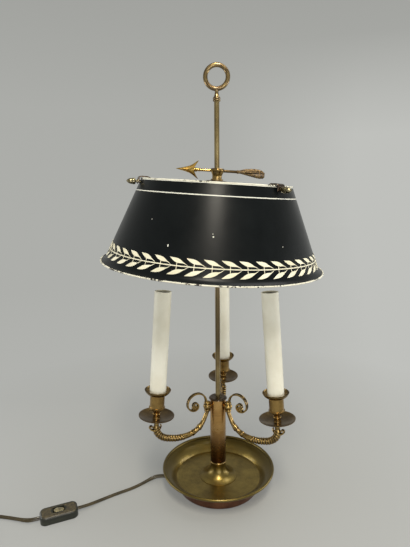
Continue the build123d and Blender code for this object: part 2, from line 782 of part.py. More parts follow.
def arrow_tail():
    """Fletching on a tapering quill, set in the hub: a level top edge and a ragged end."""
    point = hub_bore + slip_gap
    length = tail_reach - tail_start
    shaft = Rot(0, 90, 0) * round_bar(arrow_shaft_radius, point, tail_start + 2)
    top = 0.44 * tail_height
    low = -0.62 * tail_height
    vane_shape = outline(
        (0, 1.6), (0.08 * length, 3.0), (0.29 * length, 0.9 * top), (0.59 * length, top),
        (0.80 * length, 0.8 * top), (0.91 * length, 0.25 * top), (0.93 * length, -0.4), (0.91 * length, -1.0),
        (0.97 * length, -3.2), (0.94 * length, -3.5), (length, 0.76 * low), (0.93 * length, 0.94 * low),
        (0.80 * length, low), (0.59 * length, 0.82 * low), (0.29 * length, 0.51 * low), (0.08 * length, -2.2),
        (0, -1.6),
    )
    vane = extrude(Plane.XZ.offset(-0.8) * vane_shape, 1.6)
    cross_half = 0.3 * tail_height
    cross_shape = outline(
        (0, 1.2), (0.3 * length, 0.9 * cross_half), (0.7 * length, cross_half), (0.92 * length, 0.7 * cross_half),
        (0.92 * length, -0.7 * cross_half), (0.7 * length, -cross_half), (0.3 * length, -0.9 * cross_half), (0, -1.2),
    )
    cross_vane = Rot(90, 0, 0) * extrude(Plane.XZ.offset(-0.8) * cross_shape, 1.6)
    quill = Rot(0, 90, 0) * Cone(
        arrow_shaft_radius + 0.4, 1.0, 0.9 * length, align=(Align.CENTER, Align.CENTER, Align.MIN),
    )
    feather = Pos(tail_start, 0, 0) * (vane + cross_vane + quill)
    return Pos(0, 0, arrow_station) * (shaft + feather)


def acorn_screw(turn):
    """Acorn thumb screw through the tab and the shade's wall."""
    neck = 1.8
    cup = acorn_neck
    tip = acorn_neck + acorn_length
    inner = shade_radius(-screw_drop) - shade_sheet - screw_nut_height - 1.2 - tab_reach
    lines = Polyline((0, tip), (0, inner), (screw_radius, inner), (screw_radius, seat_gap), (3.4, seat_gap), (3.4, 0.9))
    lines += Polyline((3.4, 0.9), (neck, 1.4), (neck, cup - 0.6), (acorn_radius - 0.5, cup))
    lines += ThreePointArc(
        (acorn_radius - 0.5, cup), (acorn_radius, cup + 2.4), (acorn_radius - 0.5, cup + 4.6),
    )
    lines += ThreePointArc(
        (acorn_radius - 0.5, cup + 4.6), (0.72 * acorn_radius, cup + 0.7 * acorn_length), (0.8, tip - 0.8),
    )
    lines += Line((0.8, tip - 0.8), (0, tip))
    return screw_frames()[turn] * turned(make_face(lines))


def screw_nuts():
    """Three nuts inside the shade's wall."""
    upper_wall = shade_radius(-screw_drop + screw_nut_across_flats / 2) - shade_sheet / cos(atan(shade_slope))
    corner = screw_nut_across_flats / 2 / cos(pi / 6)
    outer = sqrt(upper_wall ** 2 - corner ** 2) - seat_gap - tab_reach
    nut = hexagon_nut(screw_nut_across_flats, screw_radius + seat_gap, outer - screw_nut_height, outer)
    return Compound([frame * Rot(0, 0, 30) * nut for frame in screw_frames()])


# Wiring inside the foot and column

def supply_flex():
    """Supply flex from the relief, through the ballast's channel, up to the connector."""
    rise = ring_bore - flex_diameter / 2 - slip_gap
    path = FilletPolyline(
        (relief_inner_end, 0, exit_height), (flex_hole_reach, 0, exit_height), (flex_hole_reach, 0, dish_floor + 1),
        (rise, 0, dish_floor + 13), (rise, 0, connector_foot()), radius=[4.0, 6.0, 6.0],
    )
    section = Plane(origin=path @ 0, z_dir=path % 0) * Circle(flex_diameter / 2)
    return Rot(0, 0, exit_angle) * sweep(section, path=path)


def connector_foot():
    return knot_height_z - 32


def connector_block():
    """Round terminal block about the threaded tube."""
    top = connector_foot() + 12
    return tube(column_bore - 0.8, tie_radius + slip_gap, connector_foot(), top)


def arm_leads():
    """A pair of leads, drawn as one, from the block into each arm's spigot."""
    block_top = connector_foot() + 12
    lead_reach = tie_radius + 1.9
    bend = FilletPolyline(
        (lead_reach, 0, block_top), (lead_reach, 0, knot_height_z), (column_bore - 2.2, 0, knot_height_z), radius=1.6,
    )
    lead = sweep(Plane(origin=bend @ 0, z_dir=bend % 0) * Circle(0.9), path=bend)
    return Compound([Rot(0, 0, angle) * lead for angle in arm_angles.values()])


# Lead, switch, coil and plug

def cord_relief():
    """Relief in the foot's wall: inner collar, neck and a tapering tail."""
    shape = outline(
        (0, relief_inner_end), (relief_inner_collar, relief_inner_end), (relief_inner_collar, relief_inner_seat),
        (relief_neck_radius, relief_inner_seat), (relief_neck_radius, relief_seat),
        (relief_collar_radius, relief_seat), (relief_collar_radius, relief_seat + 2.0),
        (relief_tip_radius, relief_end), (0, relief_end),
    )
    return Rot(0, 0, exit_angle) * Pos(0, 0, exit_height) * Rot(0, 90, 0) * turned(shape)


def corner_radii(name, points):
    """Radius for each corner of a cord's route, as large as the two runs allow."""
    radii = []
    for before, corner, after in zip(points, points[1:], points[2:]):
        arriving = corner - before
        leaving = after - corner
        turn = radians(arriving.get_angle(leaving))
        radii.append(0.45 * min(arriving.length, leaving.length) / tan(turn / 2))
    print(name, "bend radii", [round(radius, 1) for radius in radii])
    return radii


def cord_along(name, points):
    """Round cord along straight runs joined by tangent arcs."""
    path = FilletPolyline(*points, radius=corner_radii(name, points))
    cord = sweep(Plane(origin=path @ 0, z_dir=path % 0) * Circle(cord_diameter / 2), path=path)
    expected = pi * cord_diameter ** 2 / 4 * path.length
    print(name, "length", round(path.length, 1), "volume ratio", round(cord.volume / expected, 4))
    return cord


def switch_end(side):
    """Where the cord meets the switch: side 1 towards the lamp, side -1 away from it."""
    reach = side * switch_length / 2
    return Vector(*switch_centre, exit_height) + switch_direction * reach


def lead_route():
    start = exit_direction * relief_end + Vector(0, 0, exit_height)
    last = switch_end(1)
    return [
        start, start + exit_direction * 10, Vector(-109.8, 4.4, 5.0), Vector(-125.5, -8.0, cord_rest_height),
        Vector(-140.8, -21.0, cord_rest_height), Vector(-160.3, -32.6, cord_rest_height),
        Vector(-182.0, -48.0, cord_rest_height), last + switch_direction * 14, last,
    ]


def tail_route():
    first = switch_end(-1)
    entry = coil_point(0)
    return [
        first, first - switch_direction * 8, Vector(-276.6, -100.7, 4.6), Vector(-290.2, -98.8, 3.1),
        Vector(-311.0, -92.4, cord_rest_height), Vector(-337.0, -87.4, cord_rest_height + 0.1),
        entry + Vector(14, 0, 0), entry,
    ]


def plug_route():
    """From the end of the coil's upper layer down into the plug's tail."""
    start = coil_point(2 * coil_turns_per_layer + 0.5)
    direction = Vector(cos(radians(plug_heading)), sin(radians(plug_heading)), 0)
    corner = start + Vector(-12, 0, 0)
    landing = corner + direction * 16
    landing = Vector(landing.X, landing.Y, plug_thickness / 2)
    return [start, corner, landing, landing + direction * 12]


def coil_place(turn):
    """Radius and height of the coil's centre line after a number of turns."""
    climb_start = coil_turns_per_layer
    climb_end = coil_turns_per_layer + 0.5
    low = tie_band_thickness + 0.1 + cord_diameter / 2
    inner = coil_outer_radius - coil_pitch * coil_turns_per_layer
    if turn <= climb_start:
        return coil_outer_radius - coil_pitch * turn, low
    if turn >= climb_end:
        return inner + coil_pitch * (turn - climb_end), low + coil_pitch
    share = (turn - climb_start) / 0.5
    dip = coil_pitch / 4 * (1 - abs(2 * share - 1))
    return inner - dip, low + coil_pitch * (1 - cos(pi * share)) / 2


def coil_point(turn):
    radius, height = coil_place(turn)
    angle = pi / 2 + 2 * pi * turn
    return Vector(coil_centre[0] + radius * cos(angle), coil_centre[1] + radius * sin(angle), height)


def coil_tangent(turn):
    small = 0.002
    total = 2 * coil_turns_per_layer + 0.5
    if turn in (0, total):
        return Vector(-1, 0, 0)
    return (coil_point(turn + small) - coil_point(turn - small)).normalized()


def biarc(start, start_along, end, end_along):
    """Two tangent arcs between two points with given directions."""
    chord = end - start
    spread = 2 * (1 - start_along.dot(end_along))
    total = start_along + end_along
    reach = (sqrt(chord.dot(total) ** 2 + spread * chord.dot(chord)) - chord.dot(total)) / spread
    middle = (start + start_along * reach + end - end_along * reach) * 0.5
    along = (end - end_along * reach - start - start_along * reach).normalized()
    return [TangentArc(start, middle, tangent=start_along), TangentArc(middle, end, tangent=along)]


def cord_coil():
    """The put-away length: two layers, spiralling in and out again, then a bend to the plug."""
    total = 2 * coil_turns_per_layer + 0.5
    steps = round(4 * total)
    turns = [total * step / steps for step in range(steps + 1)]
    arcs = []
    for first, second in zip(turns, turns[1:]):
        arcs += biarc(coil_point(first), coil_tangent(first), coil_point(second), coil_tangent(second))
    coil_path = Wire([arc.edge() for arc in arcs])
    coil_length = coil_path.length
    end = FilletPolyline(*plug_route(), radius=corner_radii("coil end", plug_route()))
    path = Wire([arc.edge() for arc in arcs] + end.edges())
    cord = sweep(Plane(origin=coil_point(0), z_dir=(-1, 0, 0)) * Circle(cord_diameter / 2), path=path)
    expected = pi * cord_diameter ** 2 / 4 * path.length
    print("coil length", round(coil_length, 1), "with end", round(path.length, 1))
    print("coil volume ratio", round(cord.volume / expected, 4), "least gap", round(least_gap(), 2))
    return cord


def least_gap():
    """Least gap of the coil to itself, on points, between stretches over half a turn apart."""
    total = 2 * coil_turns_per_layer + 0.5
    samples = [total * step / 600 for step in range(601)]
    points = [coil_point(turn) for turn in samples]
    gaps = [
        (points[first] - points[second]).length
        for first in range(601)
        for second in range(first + 1, 601)
        if samples[second] - samples[first] > 0.5
    ]
    return min(gaps) - cord_diameter


def coil_tie():
    """Thin band round all the turns."""
    tie_turn = (tie_angle - 90) / 360
    turns_across = floor(coil_turns_per_layer - tie_turn)
    outer_turn = coil_outer_radius - coil_pitch * tie_turn
    inner_turn = outer_turn - coil_pitch * turns_across
    inner_low = inner_turn - cord_diameter / 2 - 3 * slip_gap
    inner_high = outer_turn + cord_diameter / 2 + slip_gap
    top = tie_band_thickness + 0.1 + cord_diameter + coil_pitch + slip_gap
    width = inner_high - inner_low
    band = 2 * tie_band_thickness
    opening_height = top - tie_band_thickness
    outer = RectangleRounded(width + band, opening_height + band, 2.6)
    face = outer - RectangleRounded(width, opening_height, 2.0)
    ring = extrude(Plane.XZ * face, tie_band_width / 2, both=True)
    middle = (inner_low + inner_high) / 2
    place = Pos(coil_centre[0], coil_centre[1], tie_band_thickness + opening_height / 2)
    return place * Rot(0, 0, tie_angle) * Pos(middle, 0, 0) * ring


def switch_frame():
    return Pos(switch_centre[0], switch_centre[1], 0) * Rot(0, 0, switch_heading)


def switch_plan(inset):
    """Plan of the switch's casing, drawn in by an inset."""
    corner = max(switch_corner - inset, 1.0)
    return RectangleRounded(switch_length - 2 * inset, switch_width - 2 * inset, corner)


def switch_base():
    """Lower half of the casing: a tray with two screw posts."""
    tray = extrude(switch_plan(0), exit_height)
    bottom_edges = tray.faces().sort_by(Axis.Z)[0].edges()
    tray = chamfer(bottom_edges, 0.8)
    tray -= Pos(0, 0, switch_wall) * extrude(switch_plan(switch_wall), switch_height)
    for side in (-1, 1):
        place = Pos(side * switch_screw_spacing / 2, 0, 0)
        tray += place * round_bar(switch_screw_head + 1.2, switch_wall - 0.2, exit_height)
        tray -= place * round_bar(switch_screw_radius + running_gap, -1, switch_height)
        tray -= place * round_bar(switch_screw_head + running_gap, -1, 2.6)
    return switch_frame() * tray


def switch_cover():
    """Upper half of the casing: rounded shell with the rocker's window and bearing ears."""
    height = switch_height - exit_height
    shell = extrude(switch_plan(0), height)
    top_edges = shell.faces().sort_by(Axis.Z)[-1].edges()
    shell = fillet(top_edges, switch_edge)
    shell -= extrude(switch_plan(switch_wall + 0.9), height - switch_wall)
    shell = Pos(0, 0, exit_height) * shell
    window_length = rocker_length + 1.2
    window_width = rocker_width + 2 * slip_gap
    middle = (exit_height + switch_height) / 2
    well = Pos(0, 0, middle) * Box(window_length + 2.4, window_width + 2.4, height)
    window = Pos(0, 0, middle) * Box(window_length, window_width, height + 2)
    shell = shell + well - window
    for side in (-1, 1):
        place = Pos(side * switch_screw_spacing / 2, 0, 0)
        shell += place * round_bar(switch_screw_radius + 1.6, exit_height, switch_height - 1)
        shell -= place * round_bar(switch_screw_radius + running_gap, exit_height - 1, switch_height - 2)
    pivot = Pos(0, 0, rocker_pivot_height) * Rot(90, 0, 0) * Cylinder(rocker_pin_radius + running_gap, window_width + 2)
    return switch_frame() * (shell - pivot)


def switch_rocker():
    """Rocker with two shallow ramps and its own pivot pins, tipped to one stop."""
    half = rocker_length / 2
    crest = switch_height - rocker_pivot_height - 0.2
    side = outline(
        (-half, crest + 0.6), (-half * 0.4, crest - 0.1), (half * 0.4, crest - 0.1), (half, crest + 0.6),
        (half, crest - 1.6), (half * 0.5, -1.6), (-half * 0.5, -1.6), (-half, crest - 1.6),
    )
    body = extrude(Plane.XZ * side, rocker_width / 2, both=True)
    pins = Rot(90, 0, 0) * Cylinder(rocker_pin_radius, rocker_width + 2 * slip_gap + 1.6)
    return switch_frame() * Pos(0, 0, rocker_pivot_height) * Rot(0, rocker_tilt, 0) * (body + pins)


def switch_screws():
    """Two countersunk screws from below."""
    screws = []
    for side in (-1, 1):
        shank = round_bar(switch_screw_radius, 2.5, switch_height - 2.6)
        head = round_bar(switch_screw_head, 0.9, 2.6 - seat_gap)
        slot = Pos(0, 0, 1.1) * Box(2.4 * switch_screw_head, 0.7, 0.8)
        screws.append(switch_frame() * Pos(side * switch_screw_spacing / 2, 0, 0) * (shank + head - slot))
    return Compound(screws)


def switch_terminals():
    """Two brass terminal blocks on the tray's floor, beside the rocker's foot."""
    blocks = []
    for side in (-1, 1):
        block = Box(5.4, 7.0, 4.2) - Rot(0, 90, 0) * Cylinder(1.2, 8)
        blocks.append(switch_frame() * Pos(side * 11.4, 0, switch_wall + 2.1) * block)
    return Compound(blocks)


def plug_frame():
    """Frame of the plug: X runs from the cord towards the pins."""
    tail = plug_route()[-1]
    return Pos(tail.X, tail.Y, tail.Z) * Rot(0, 0, plug_heading)


def plug_section(station, width, thickness):
    return Plane(origin=(station, 0, 0), x_dir=(0, 1, 0), z_dir=(1, 0, 0)) * RectangleRounded(width, thickness, 3.0)


def plug_body():
    """Flat two-pin plug body that widens from its tail to the face."""
    sections = [
        plug_section(0, plug_tail_width, plug_thickness - 4.0),
        plug_section(0.45 * plug_length, 0.8 * plug_width, plug_thickness),
        plug_section(plug_length, plug_width, plug_thickness),
    ]
    body = loft(sections, ruled=True)
    hole = Rot(0, 90, 0) * Cylinder(pin_shank_radius + seat_gap, 2 * pin_seat)
    for side in (-1, 1):
        body -= Pos(plug_length, side * pin_spacing / 2, 0) * hole
    return plug_frame() * body


def plug_pins():
    """Two round pins, each seated in the plug's face."""
    shoulder = plug_length + pin_length - pin_tip
    pin = turned(outline(
        (0, plug_length - pin_seat), (pin_shank_radius, plug_length - pin_seat), (pin_shank_radius, plug_length),
        (pin_radius, plug_length), (pin_radius, shoulder), (pin_radius - 0.9, plug_length + pin_length),
        (0, plug_length + pin_length),
    ))
    pins = [Pos(0, side * pin_spacing / 2, 0) * Rot(0, 90, 0) * pin for side in (-1, 1)]
    return Compound([plug_frame() * pin for pin in pins])


# How far the shade can slide

def spider_foot_height():
    """Lowest height of the spider over the candles' tops, at rest."""
    return shade_rest_height + spider_foot - (arm_reach + sleeve_radius) * tan(shade_tilt)


def candle_height():
    """Height of the candle sleeves' tops."""
    top = candle_seat() * Pos(sleeve_radius, 0, sleeve_top)
    return top.position.Z


# Assembly: every piece in its place at rest

def build_nodes():
    nodes = {
        "base_felt": base_felt(),
        "ballast_weight": ballast_weight(),
        "foot_drum": foot_drum(),
        "base_dish": base_dish(),
        "tie_tube": tie_tube(),
        "tie_washer": tie_washer(),
        "tie_nut": tie_nut(),
        "column_skirt": column_skirt(),
        "column_ring": column_ring(),
        "column_tube": column_tube(),
        "column_cap": column_cap(),
        "rod": rod(),
        "finial_ring": finial_ring(),
        "arm_nuts": arm_nuts(),
        "supply_flex": supply_flex(),
        "connector_block": connector_block(),
        "arm_leads": arm_leads(),
        "cord_relief": cord_relief(),
        "cord_lead": cord_along("cord_lead", lead_route()),
        "switch_base": switch_base(),
        "switch_cover": switch_cover(),
        "switch_rocker": switch_rocker(),
        "switch_screws": switch_screws(),
        "switch_terminals": switch_terminals(),
        "cord_tail": cord_along("cord_tail", tail_route()),
        "cord_coil": cord_coil(),
        "coil_tie": coil_tie(),
        "plug_body": plug_body(),
        "plug_pins": plug_pins(),
    }
    arm = scroll_arm(0)
    candle_pieces = {
        "drip_pan": drip_pan(), "candle_cup": candle_cup(), "holder_stalk": holder_stalk(),
        "lampholder": lampholder(), "candle_sleeve": candle_sleeve(),
    }
    for side, angle in arm_angles.items():
        nodes["arm_" + side] = Rot(0, 0, angle) * arm
        for name, piece in candle_pieces.items():
            nodes[name + "_" + side] = Rot(0, 0, angle) * candle_seat() * piece
    carried = {
        "shade": shade(), "shade_spider": shade_spider(), "carrier_hub": carrier_hub(),
        "hub_locknut": hub_locknut(), "arrow_screw": arrow_screw(), "arrow_tail": arrow_tail(),
        "screw_nuts": screw_nuts(), "acorn_screw_left": acorn_screw(0), "acorn_screw_right": acorn_screw(1),
        "acorn_screw_back": acorn_screw(2),
    }
    for name, piece in carried.items():
        nodes[name] = shade_frame * piece
    return nodes


os.makedirs("parts", exist_ok=True)
for name, piece in build_nodes().items():
    piece.label = name
    export_step(piece, "parts/" + name + ".step")

# Range of the slide, from rest
print("slide up to", round(rod_top - shade_rest_height - hub_top - hub_head_radius * sin(shade_tilt), 1))
print("slide down to", round(-(spider_foot_height() - candle_height()), 1))
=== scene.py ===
from functools import partial
from math import atan, cos, pi, radians, sin, tan

import bpy
from mathutils import Euler, Matrix, Quaternion, Vector


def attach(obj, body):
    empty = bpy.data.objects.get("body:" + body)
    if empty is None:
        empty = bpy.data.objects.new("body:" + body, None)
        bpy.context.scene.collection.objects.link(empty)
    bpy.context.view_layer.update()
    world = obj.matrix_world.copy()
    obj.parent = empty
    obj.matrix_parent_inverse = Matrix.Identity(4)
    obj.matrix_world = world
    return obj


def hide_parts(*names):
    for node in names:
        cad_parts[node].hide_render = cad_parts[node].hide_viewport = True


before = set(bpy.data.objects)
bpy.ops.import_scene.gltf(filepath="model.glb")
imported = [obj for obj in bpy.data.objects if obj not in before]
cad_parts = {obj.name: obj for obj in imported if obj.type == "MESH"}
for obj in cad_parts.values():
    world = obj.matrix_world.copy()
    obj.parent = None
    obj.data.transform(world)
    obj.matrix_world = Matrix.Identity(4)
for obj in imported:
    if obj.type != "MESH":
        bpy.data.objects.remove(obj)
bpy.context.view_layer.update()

MM = 0.001
TURN = 2 * pi


def shift(x, y, z):
    """Move by millimetres."""
    return Matrix.Translation((x * MM, y * MM, z * MM))


def turn_by(degrees, axis):
    return Matrix.Rotation(radians(degrees), 4, axis)


# Camera, at the photograph's viewpoint: it looks down a little, aside a little, and is rolled a little

camera_place = (0, -0.670, 0.4665)
camera_down = 0.172
camera_aside = 0.0281
camera_roll = -0.009

lens_data = bpy.data.cameras.new("camera")
lens_data.sensor_width = 36.0
lens_data.lens = 29.471
camera = bpy.data.objects.new("camera", lens_data)
camera.location = camera_place
camera.rotation_mode = "QUATERNION"
camera_heading = Euler((pi / 2 - camera_down, 0, camera_aside)).to_quaternion()
camera.rotation_quaternion = camera_heading @ Quaternion((0, 0, 1), camera_roll)
bpy.context.collection.objects.link(camera)
bpy.context.scene.camera = camera
bpy.context.scene.view_settings.view_transform = "Standard"


# Helpers for materials

def linear(code):
    """Linear colour from an sRGB hex value."""
    parts = [int(code[place:place + 2], 16) / 255 for place in (1, 3, 5)]
    return [part / 12.92 if part <= 0.04045 else ((part + 0.055) / 1.055) ** 2.4 for part in parts] + [1]


def fill(node, inputs):
    """Sets a node's sockets, by name or in their order, to values, hex colours or other nodes' outputs."""
    for socket, value in inputs.items() if isinstance(inputs, dict) else enumerate(inputs):
        if isinstance(value, bpy.types.NodeSocket):
            node.id_data.links.new(value, node.inputs[socket])
        else:
            node.inputs[socket].default_value = linear(value) if isinstance(value, str) else value


def add_node(tree, kind, inputs=(), operation=None, out=None, stops=(), **settings):
    """Adds a node, with (place, hex) stops if it is a ramp; gives its first output in use, or the one named."""
    node = tree.nodes.new("ShaderNode" + kind)
    if operation:
        node.operation = operation
    for name, value in settings.items():
        setattr(node, name, value)
    fill(node, inputs)
    if stops:
        elements = node.color_ramp.elements
        while len(elements) < len(stops):
            elements.new(0.5)
        for element, (place, code) in zip(elements, stops):
            element.position = place
            element.color = linear(code)
    return node.outputs[out] if out else next((socket for socket in node.outputs if socket.enabled), None)


def blank_material(name):
    """Material with one Principled shader; gives it, the function that adds its nodes, shader and coordinates."""
    finish = bpy.data.materials.new(name)
    finish.use_nodes = True
    add = partial(add_node, finish.node_tree)
    return finish, add, finish.node_tree.nodes["Principled BSDF"], add("TexCoord", out="Object")


def sized(place, size_mm, detail=4, roughness=0.55):
    """Inputs of a noise whose features are about the given size in millimetres."""
    return {"Vector": place, "Scale": 1000 / size_mm, "Detail": detail, "Roughness": roughness}


def relief(height, depth_mm):
    """Inputs of a bump of the given depth from a height between 0 and 1."""
    return {"Height": height, "Distance": depth_mm * MM, "Strength": 1.0}


def largest(add, values):
    """Largest of several outputs."""
    most = values[0]
    for value in values[1:]:
        most = add("Math", [most, value], "MAXIMUM")
    return most


# Finishes

def aged_brass(name, light, middle, dark, rough, patch_mm, grain=(1, 1, 1), grain_mm=0.6, depth_mm=0.012,
               dirt_and_shade=None, painted_shadow_band=None, coat=0.5):
    """Lacquered brass gone brown: bright where it is touched, dull in patches, with fine tool marks."""
    finish, add, shader, place = blank_material(name)
    patches = add("TexNoise", sized(place, patch_mm, 6, 0.62))
    colour = add("ValToRGB", [patches], stops=[(0.34, dark), (0.52, middle), (0.68, light)])
    # Brown dirt and painted shade in the hollows, following the hollow attribute
    if dirt_and_shade:
        hollow = add("Attribute", out="Fac", attribute_name="hollow")
        dirt_and_shade_share = add("TexNoise", sized(place, 3, 4, 0.6))
        dirt_and_shade_share = add("Math", [dirt_and_shade_share, 0.5, hollow], "MULTIPLY_ADD")
        dirt_and_shade_share = add("MapRange", [dirt_and_shade_share, 0.35, 0.75])
        colour = add("Mix", {"Factor": dirt_and_shade_share, "A": colour, "B": dirt_and_shade}, data_type="RGBA")
    # Painted shadow: a darker band over a range of heights, where a shadow falls on the piece
    if painted_shadow_band:
        code, low, high, fade = painted_shadow_band
        height = add("SeparateXYZ", [place], out="Z")
        above = add("MapRange", [height, low * MM, (low + fade) * MM])
        below = add("MapRange", [height, (high - fade) * MM, high * MM, 1, 0])
        share = add("Math", [above, below], "MULTIPLY")
        colour = add("Mix", {"Factor": share, "A": colour, "B": code}, data_type="RGBA")
    streaks = add("Mapping", {"Vector": place, "Scale": grain})
    marks = add("TexNoise", sized(streaks, grain_mm, 3, 0.6))
    fill(shader, {
        "Base Color": colour, "Metallic": 1, "Coat Weight": coat, "Coat Roughness": 0.12,
        "Roughness": add("MapRange", [patches, 0.3, 0.7, rough[1], rough[0]]),
        "Normal": add("Bump", relief(marks, depth_mm)),
    })
    return finish


def turned_brass(name, light, middle, dark, rough, pitch_mm, patch_mm=20, depth_mm=0.006, low=None, coat=0.4):
    """Spun or turned brass: fine rings from the lathe round the lamp's axis, under patchy lacquer."""
    finish, add, shader, place = blank_material(name)
    flat = add("VectorMath", [place, (1, 1, 0)], "MULTIPLY")
    radius = add("VectorMath", [flat], "LENGTH")
    height = add("SeparateXYZ", [place], out="Z")
    along = add("Math", [radius, height], "ADD")
    rings = add("TexNoise", {"W": along, "Scale": 1000 / pitch_mm, "Detail": 2.0}, noise_dimensions="1D")
    patches = add("TexNoise", sized(place, patch_mm, 6, 0.64))
    mixed = add("Math", [rings, 0.22, patches], "MULTIPLY_ADD")
    colour = add("ValToRGB", [mixed], stops=[(0.40, dark), (0.60, middle), (0.80, light)])
    # Optional colour faded in over a range of heights: painted shade on the dish's upper wall and the cups' rims; the
    # column's foot darker
    if low:
        code, start, end = low
        share = add("MapRange", [height, start * MM, end * MM, 1, 0])
        colour = add("Mix", {"Factor": share, "A": colour, "B": code}, data_type="RGBA")
    fill(shader, {
        "Base Color": colour, "Metallic": 1, "Coat Weight": coat, "Coat Roughness": 0.16,
        "Roughness": add("MapRange", [mixed, 0.4, 0.8, rough[1], rough[0]]),
        "Normal": add("Bump", relief(rings, depth_mm)),
    })
    return finish


def plain_finish(name, light, dark, rough, patch_mm=8, grain_mm=0.5, depth_mm=0.01, metallic=0, coat=0, sheen=0):
    """Moulded, painted, woven or plated surface with a faint change of colour and a fine grain."""
    finish, add, shader, place = blank_material(name)
    patches = add("TexNoise", sized(place, patch_mm, 5, 0.6))
    grain = add("TexNoise", sized(place, grain_mm, 2))
    fill(shader, {
        "Base Color": add("ValToRGB", [patches], stops=[(0.35, dark), (0.65, light)]),
        "Metallic": metallic, "Coat Weight": coat, "Sheen Weight": sheen,
        "Roughness": add("MapRange", [patches, 0.3, 0.7, rough[1], rough[0]]),
        "Normal": add("Bump", relief(grain, depth_mm)),
    })
    return finish


def line_mask(add, value, middle_mm, half_mm):
    """One inside a band of a value, zero outside it, with an edge a tenth of a millimetre wide."""
    off = add("Math", [value, middle_mm * MM], "SUBTRACT")
    off = add("Math", [off], "ABSOLUTE")
    return add("MapRange", [off, (half_mm - 0.05) * MM, (half_mm + 0.05) * MM, 1, 0])


# Shade's frame: from the middle of its top rim, its Z along the shade's own axis
shade_frame = shift(0, 0, 492.25) @ turn_by(1.15, "X") @ turn_by(3.9, "Y") @ shift(0, 0, -7.5)
cream_line_station = -15.9
# Chips on the shade's cone: place in metres, and radius in millimetres
enamel_chips = [
    (-0.0598, -0.1298, 0.4079, 1.25), (-0.0598, -0.1301, 0.4065, 1), (-0.0046, -0.1350, 0.4178, 1.15),
    (-0.0051, -0.1337, 0.4212, 0.85), (-0.0823, -0.1032, 0.4381, 0.7), (0.0825, -0.1078, 0.4022, 0.8),
]


def shade_enamel():
    """Satin black stoving enamel on sheet metal, with a cream line and small chips to the cream primer."""
    finish, add, shader, place = blank_material("enamel_black_satin")
    own = add("Mapping", {"Vector": place, "Location": shade_frame.translation,
                          "Rotation": shade_frame.to_euler()}, vector_type="TEXTURE")
    height = add("SeparateXYZ", [own], out="Z")
    cloud = add("TexNoise", sized(own, 34, 5, 0.6))
    colour = add("ValToRGB", [cloud], stops=[(0.3, "#050809"), (0.7, "#090d0e")])
    marks = [line_mask(add, height, cream_line_station, 0.65), line_mask(add, height, 0, 1.5)]
    ragged_edge = add("TexNoise", sized(place, 1.2))
    for *spot, radius in enamel_chips:
        away = add("VectorMath", [place, spot], "DISTANCE")
        away = add("Math", [ragged_edge, 1.2 * MM, away], "MULTIPLY_ADD")
        marks.append(add("MapRange", [away, (radius + 0.3) * MM, (radius + 0.5) * MM, 1, 0]))
    colour = add("Mix", {"Factor": largest(add, marks), "A": colour, "B": "#d0cfc2"}, data_type="RGBA")
    fill(shader, {
        "Base Color": colour, "Roughness": add("MapRange", [cloud, 0.3, 0.7, 0.28, 0.36]),
        "Specular IOR Level": 0.2,
        "Normal": add("Bump", relief(add("TexNoise", sized(place, 1.6, 3)), 0.02)),
    })
    return finish


def cream_paint(name, light, dark, chipped=False):
    """Cream paint, brushed and a little yellowed; on the rims it has worn through to black."""
    finish, add, shader, place = blank_material(name)
    cloud = add("TexNoise", sized(place, 24, 5, 0.6))
    colour = add("ValToRGB", [cloud], stops=[(0.3, dark), (0.7, light)])
    if chipped:
        worn = add("Math", [add("TexNoise", sized(place, 3.2, 4, 0.65)),
                            add("TexNoise", sized(place, 26, 2))], "MULTIPLY")
        worn = add("MapRange", [worn, 0.295, 0.31])
        colour = add("Mix", {"Factor": worn, "A": colour, "B": "#231d18"}, data_type="RGBA")
    brushed = add("TexNoise", sized(place, 1.2, 3))
    fill(shader, {"Base Color": colour, "Roughness": 0.5, "Normal": add("Bump", relief(brushed, 0.02))})
    return finish


# Switch: its middle on the floor, its heading and its rocker's pivot and lean at rest, in millimetres and degrees
switch_middle = (-235.4, -84.6, 0)
switch_heading = 24.6
rocker_pivot_height = 9.0
rocker_lean = 7.0
# Painted shade: its near-black rim starts this far outside a rectangle of these half sides, and its near-black oval
# round the rocker has these half axes
painted_shade_rim_reach, painted_shade_rim_sides, painted_shade_rim_shift = (5.4, 6.6), (18.2, 4.5), 1.8
painted_shade_oval_axes = (11.4, 7.8)


def switch_casing():
    """Cover of the switch: gold brown speckled paint, with painted shade making it nearly black at the rim and round
    the rocker.
    """
    finish, add, shader, place = blank_material("moulded_switch")
    own = add("Mapping", {"Vector": place, "Location": Vector(switch_middle) * MM,
                          "Rotation": (0, 0, radians(switch_heading))}, vector_type="TEXTURE")
    flat = add("VectorMath", [own, (1, 1, 0), (0, painted_shade_rim_shift * MM, 0)], "MULTIPLY_ADD")
    reach = add("VectorMath", [flat], "ABSOLUTE")
    corner = add("VectorMath", [reach, (painted_shade_rim_sides[0] * MM, painted_shade_rim_sides[1] * MM, 0)], "SUBTRACT")
    corner = add("VectorMath", [corner, (0, 0, 0)], "MAXIMUM")
    edge = add("VectorMath", [corner], "LENGTH")
    oval = add("VectorMath", [own, (1 / (painted_shade_oval_axes[0] * MM), 1 / (painted_shade_oval_axes[1] * MM), 0)], "MULTIPLY")
    oval = add("VectorMath", [oval], "LENGTH")
    # Painted shade: near black where the casing's sides turn away from the light and round the rocker's recess
    dark = largest(add, [add("MapRange", [edge, painted_shade_rim_reach[0] * MM, painted_shade_rim_reach[1] * MM]),
                         add("MapRange", [oval, 0.92, 1.08, 1, 0])])
    speckles = add("TexNoise", sized(place, 3.2, 5, 0.66))
    colour = add("ValToRGB", [speckles], stops=[(0.36, "#33281b"), (0.50, "#3f3826"), (0.66, "#5d5233")])
    fill(shader, {
        "Base Color": add("Mix", {"Factor": dark, "A": colour, "B": "#1a1c13"}, data_type="RGBA"),
        "Roughness": add("MapRange", [speckles, 0.3, 0.7, 0.50, 0.36]), "Coat Weight": 0.08,
        "Normal": add("Bump", relief(add("TexNoise", sized(place, 0.5, 2)), 0.01)),
    })
    return finish


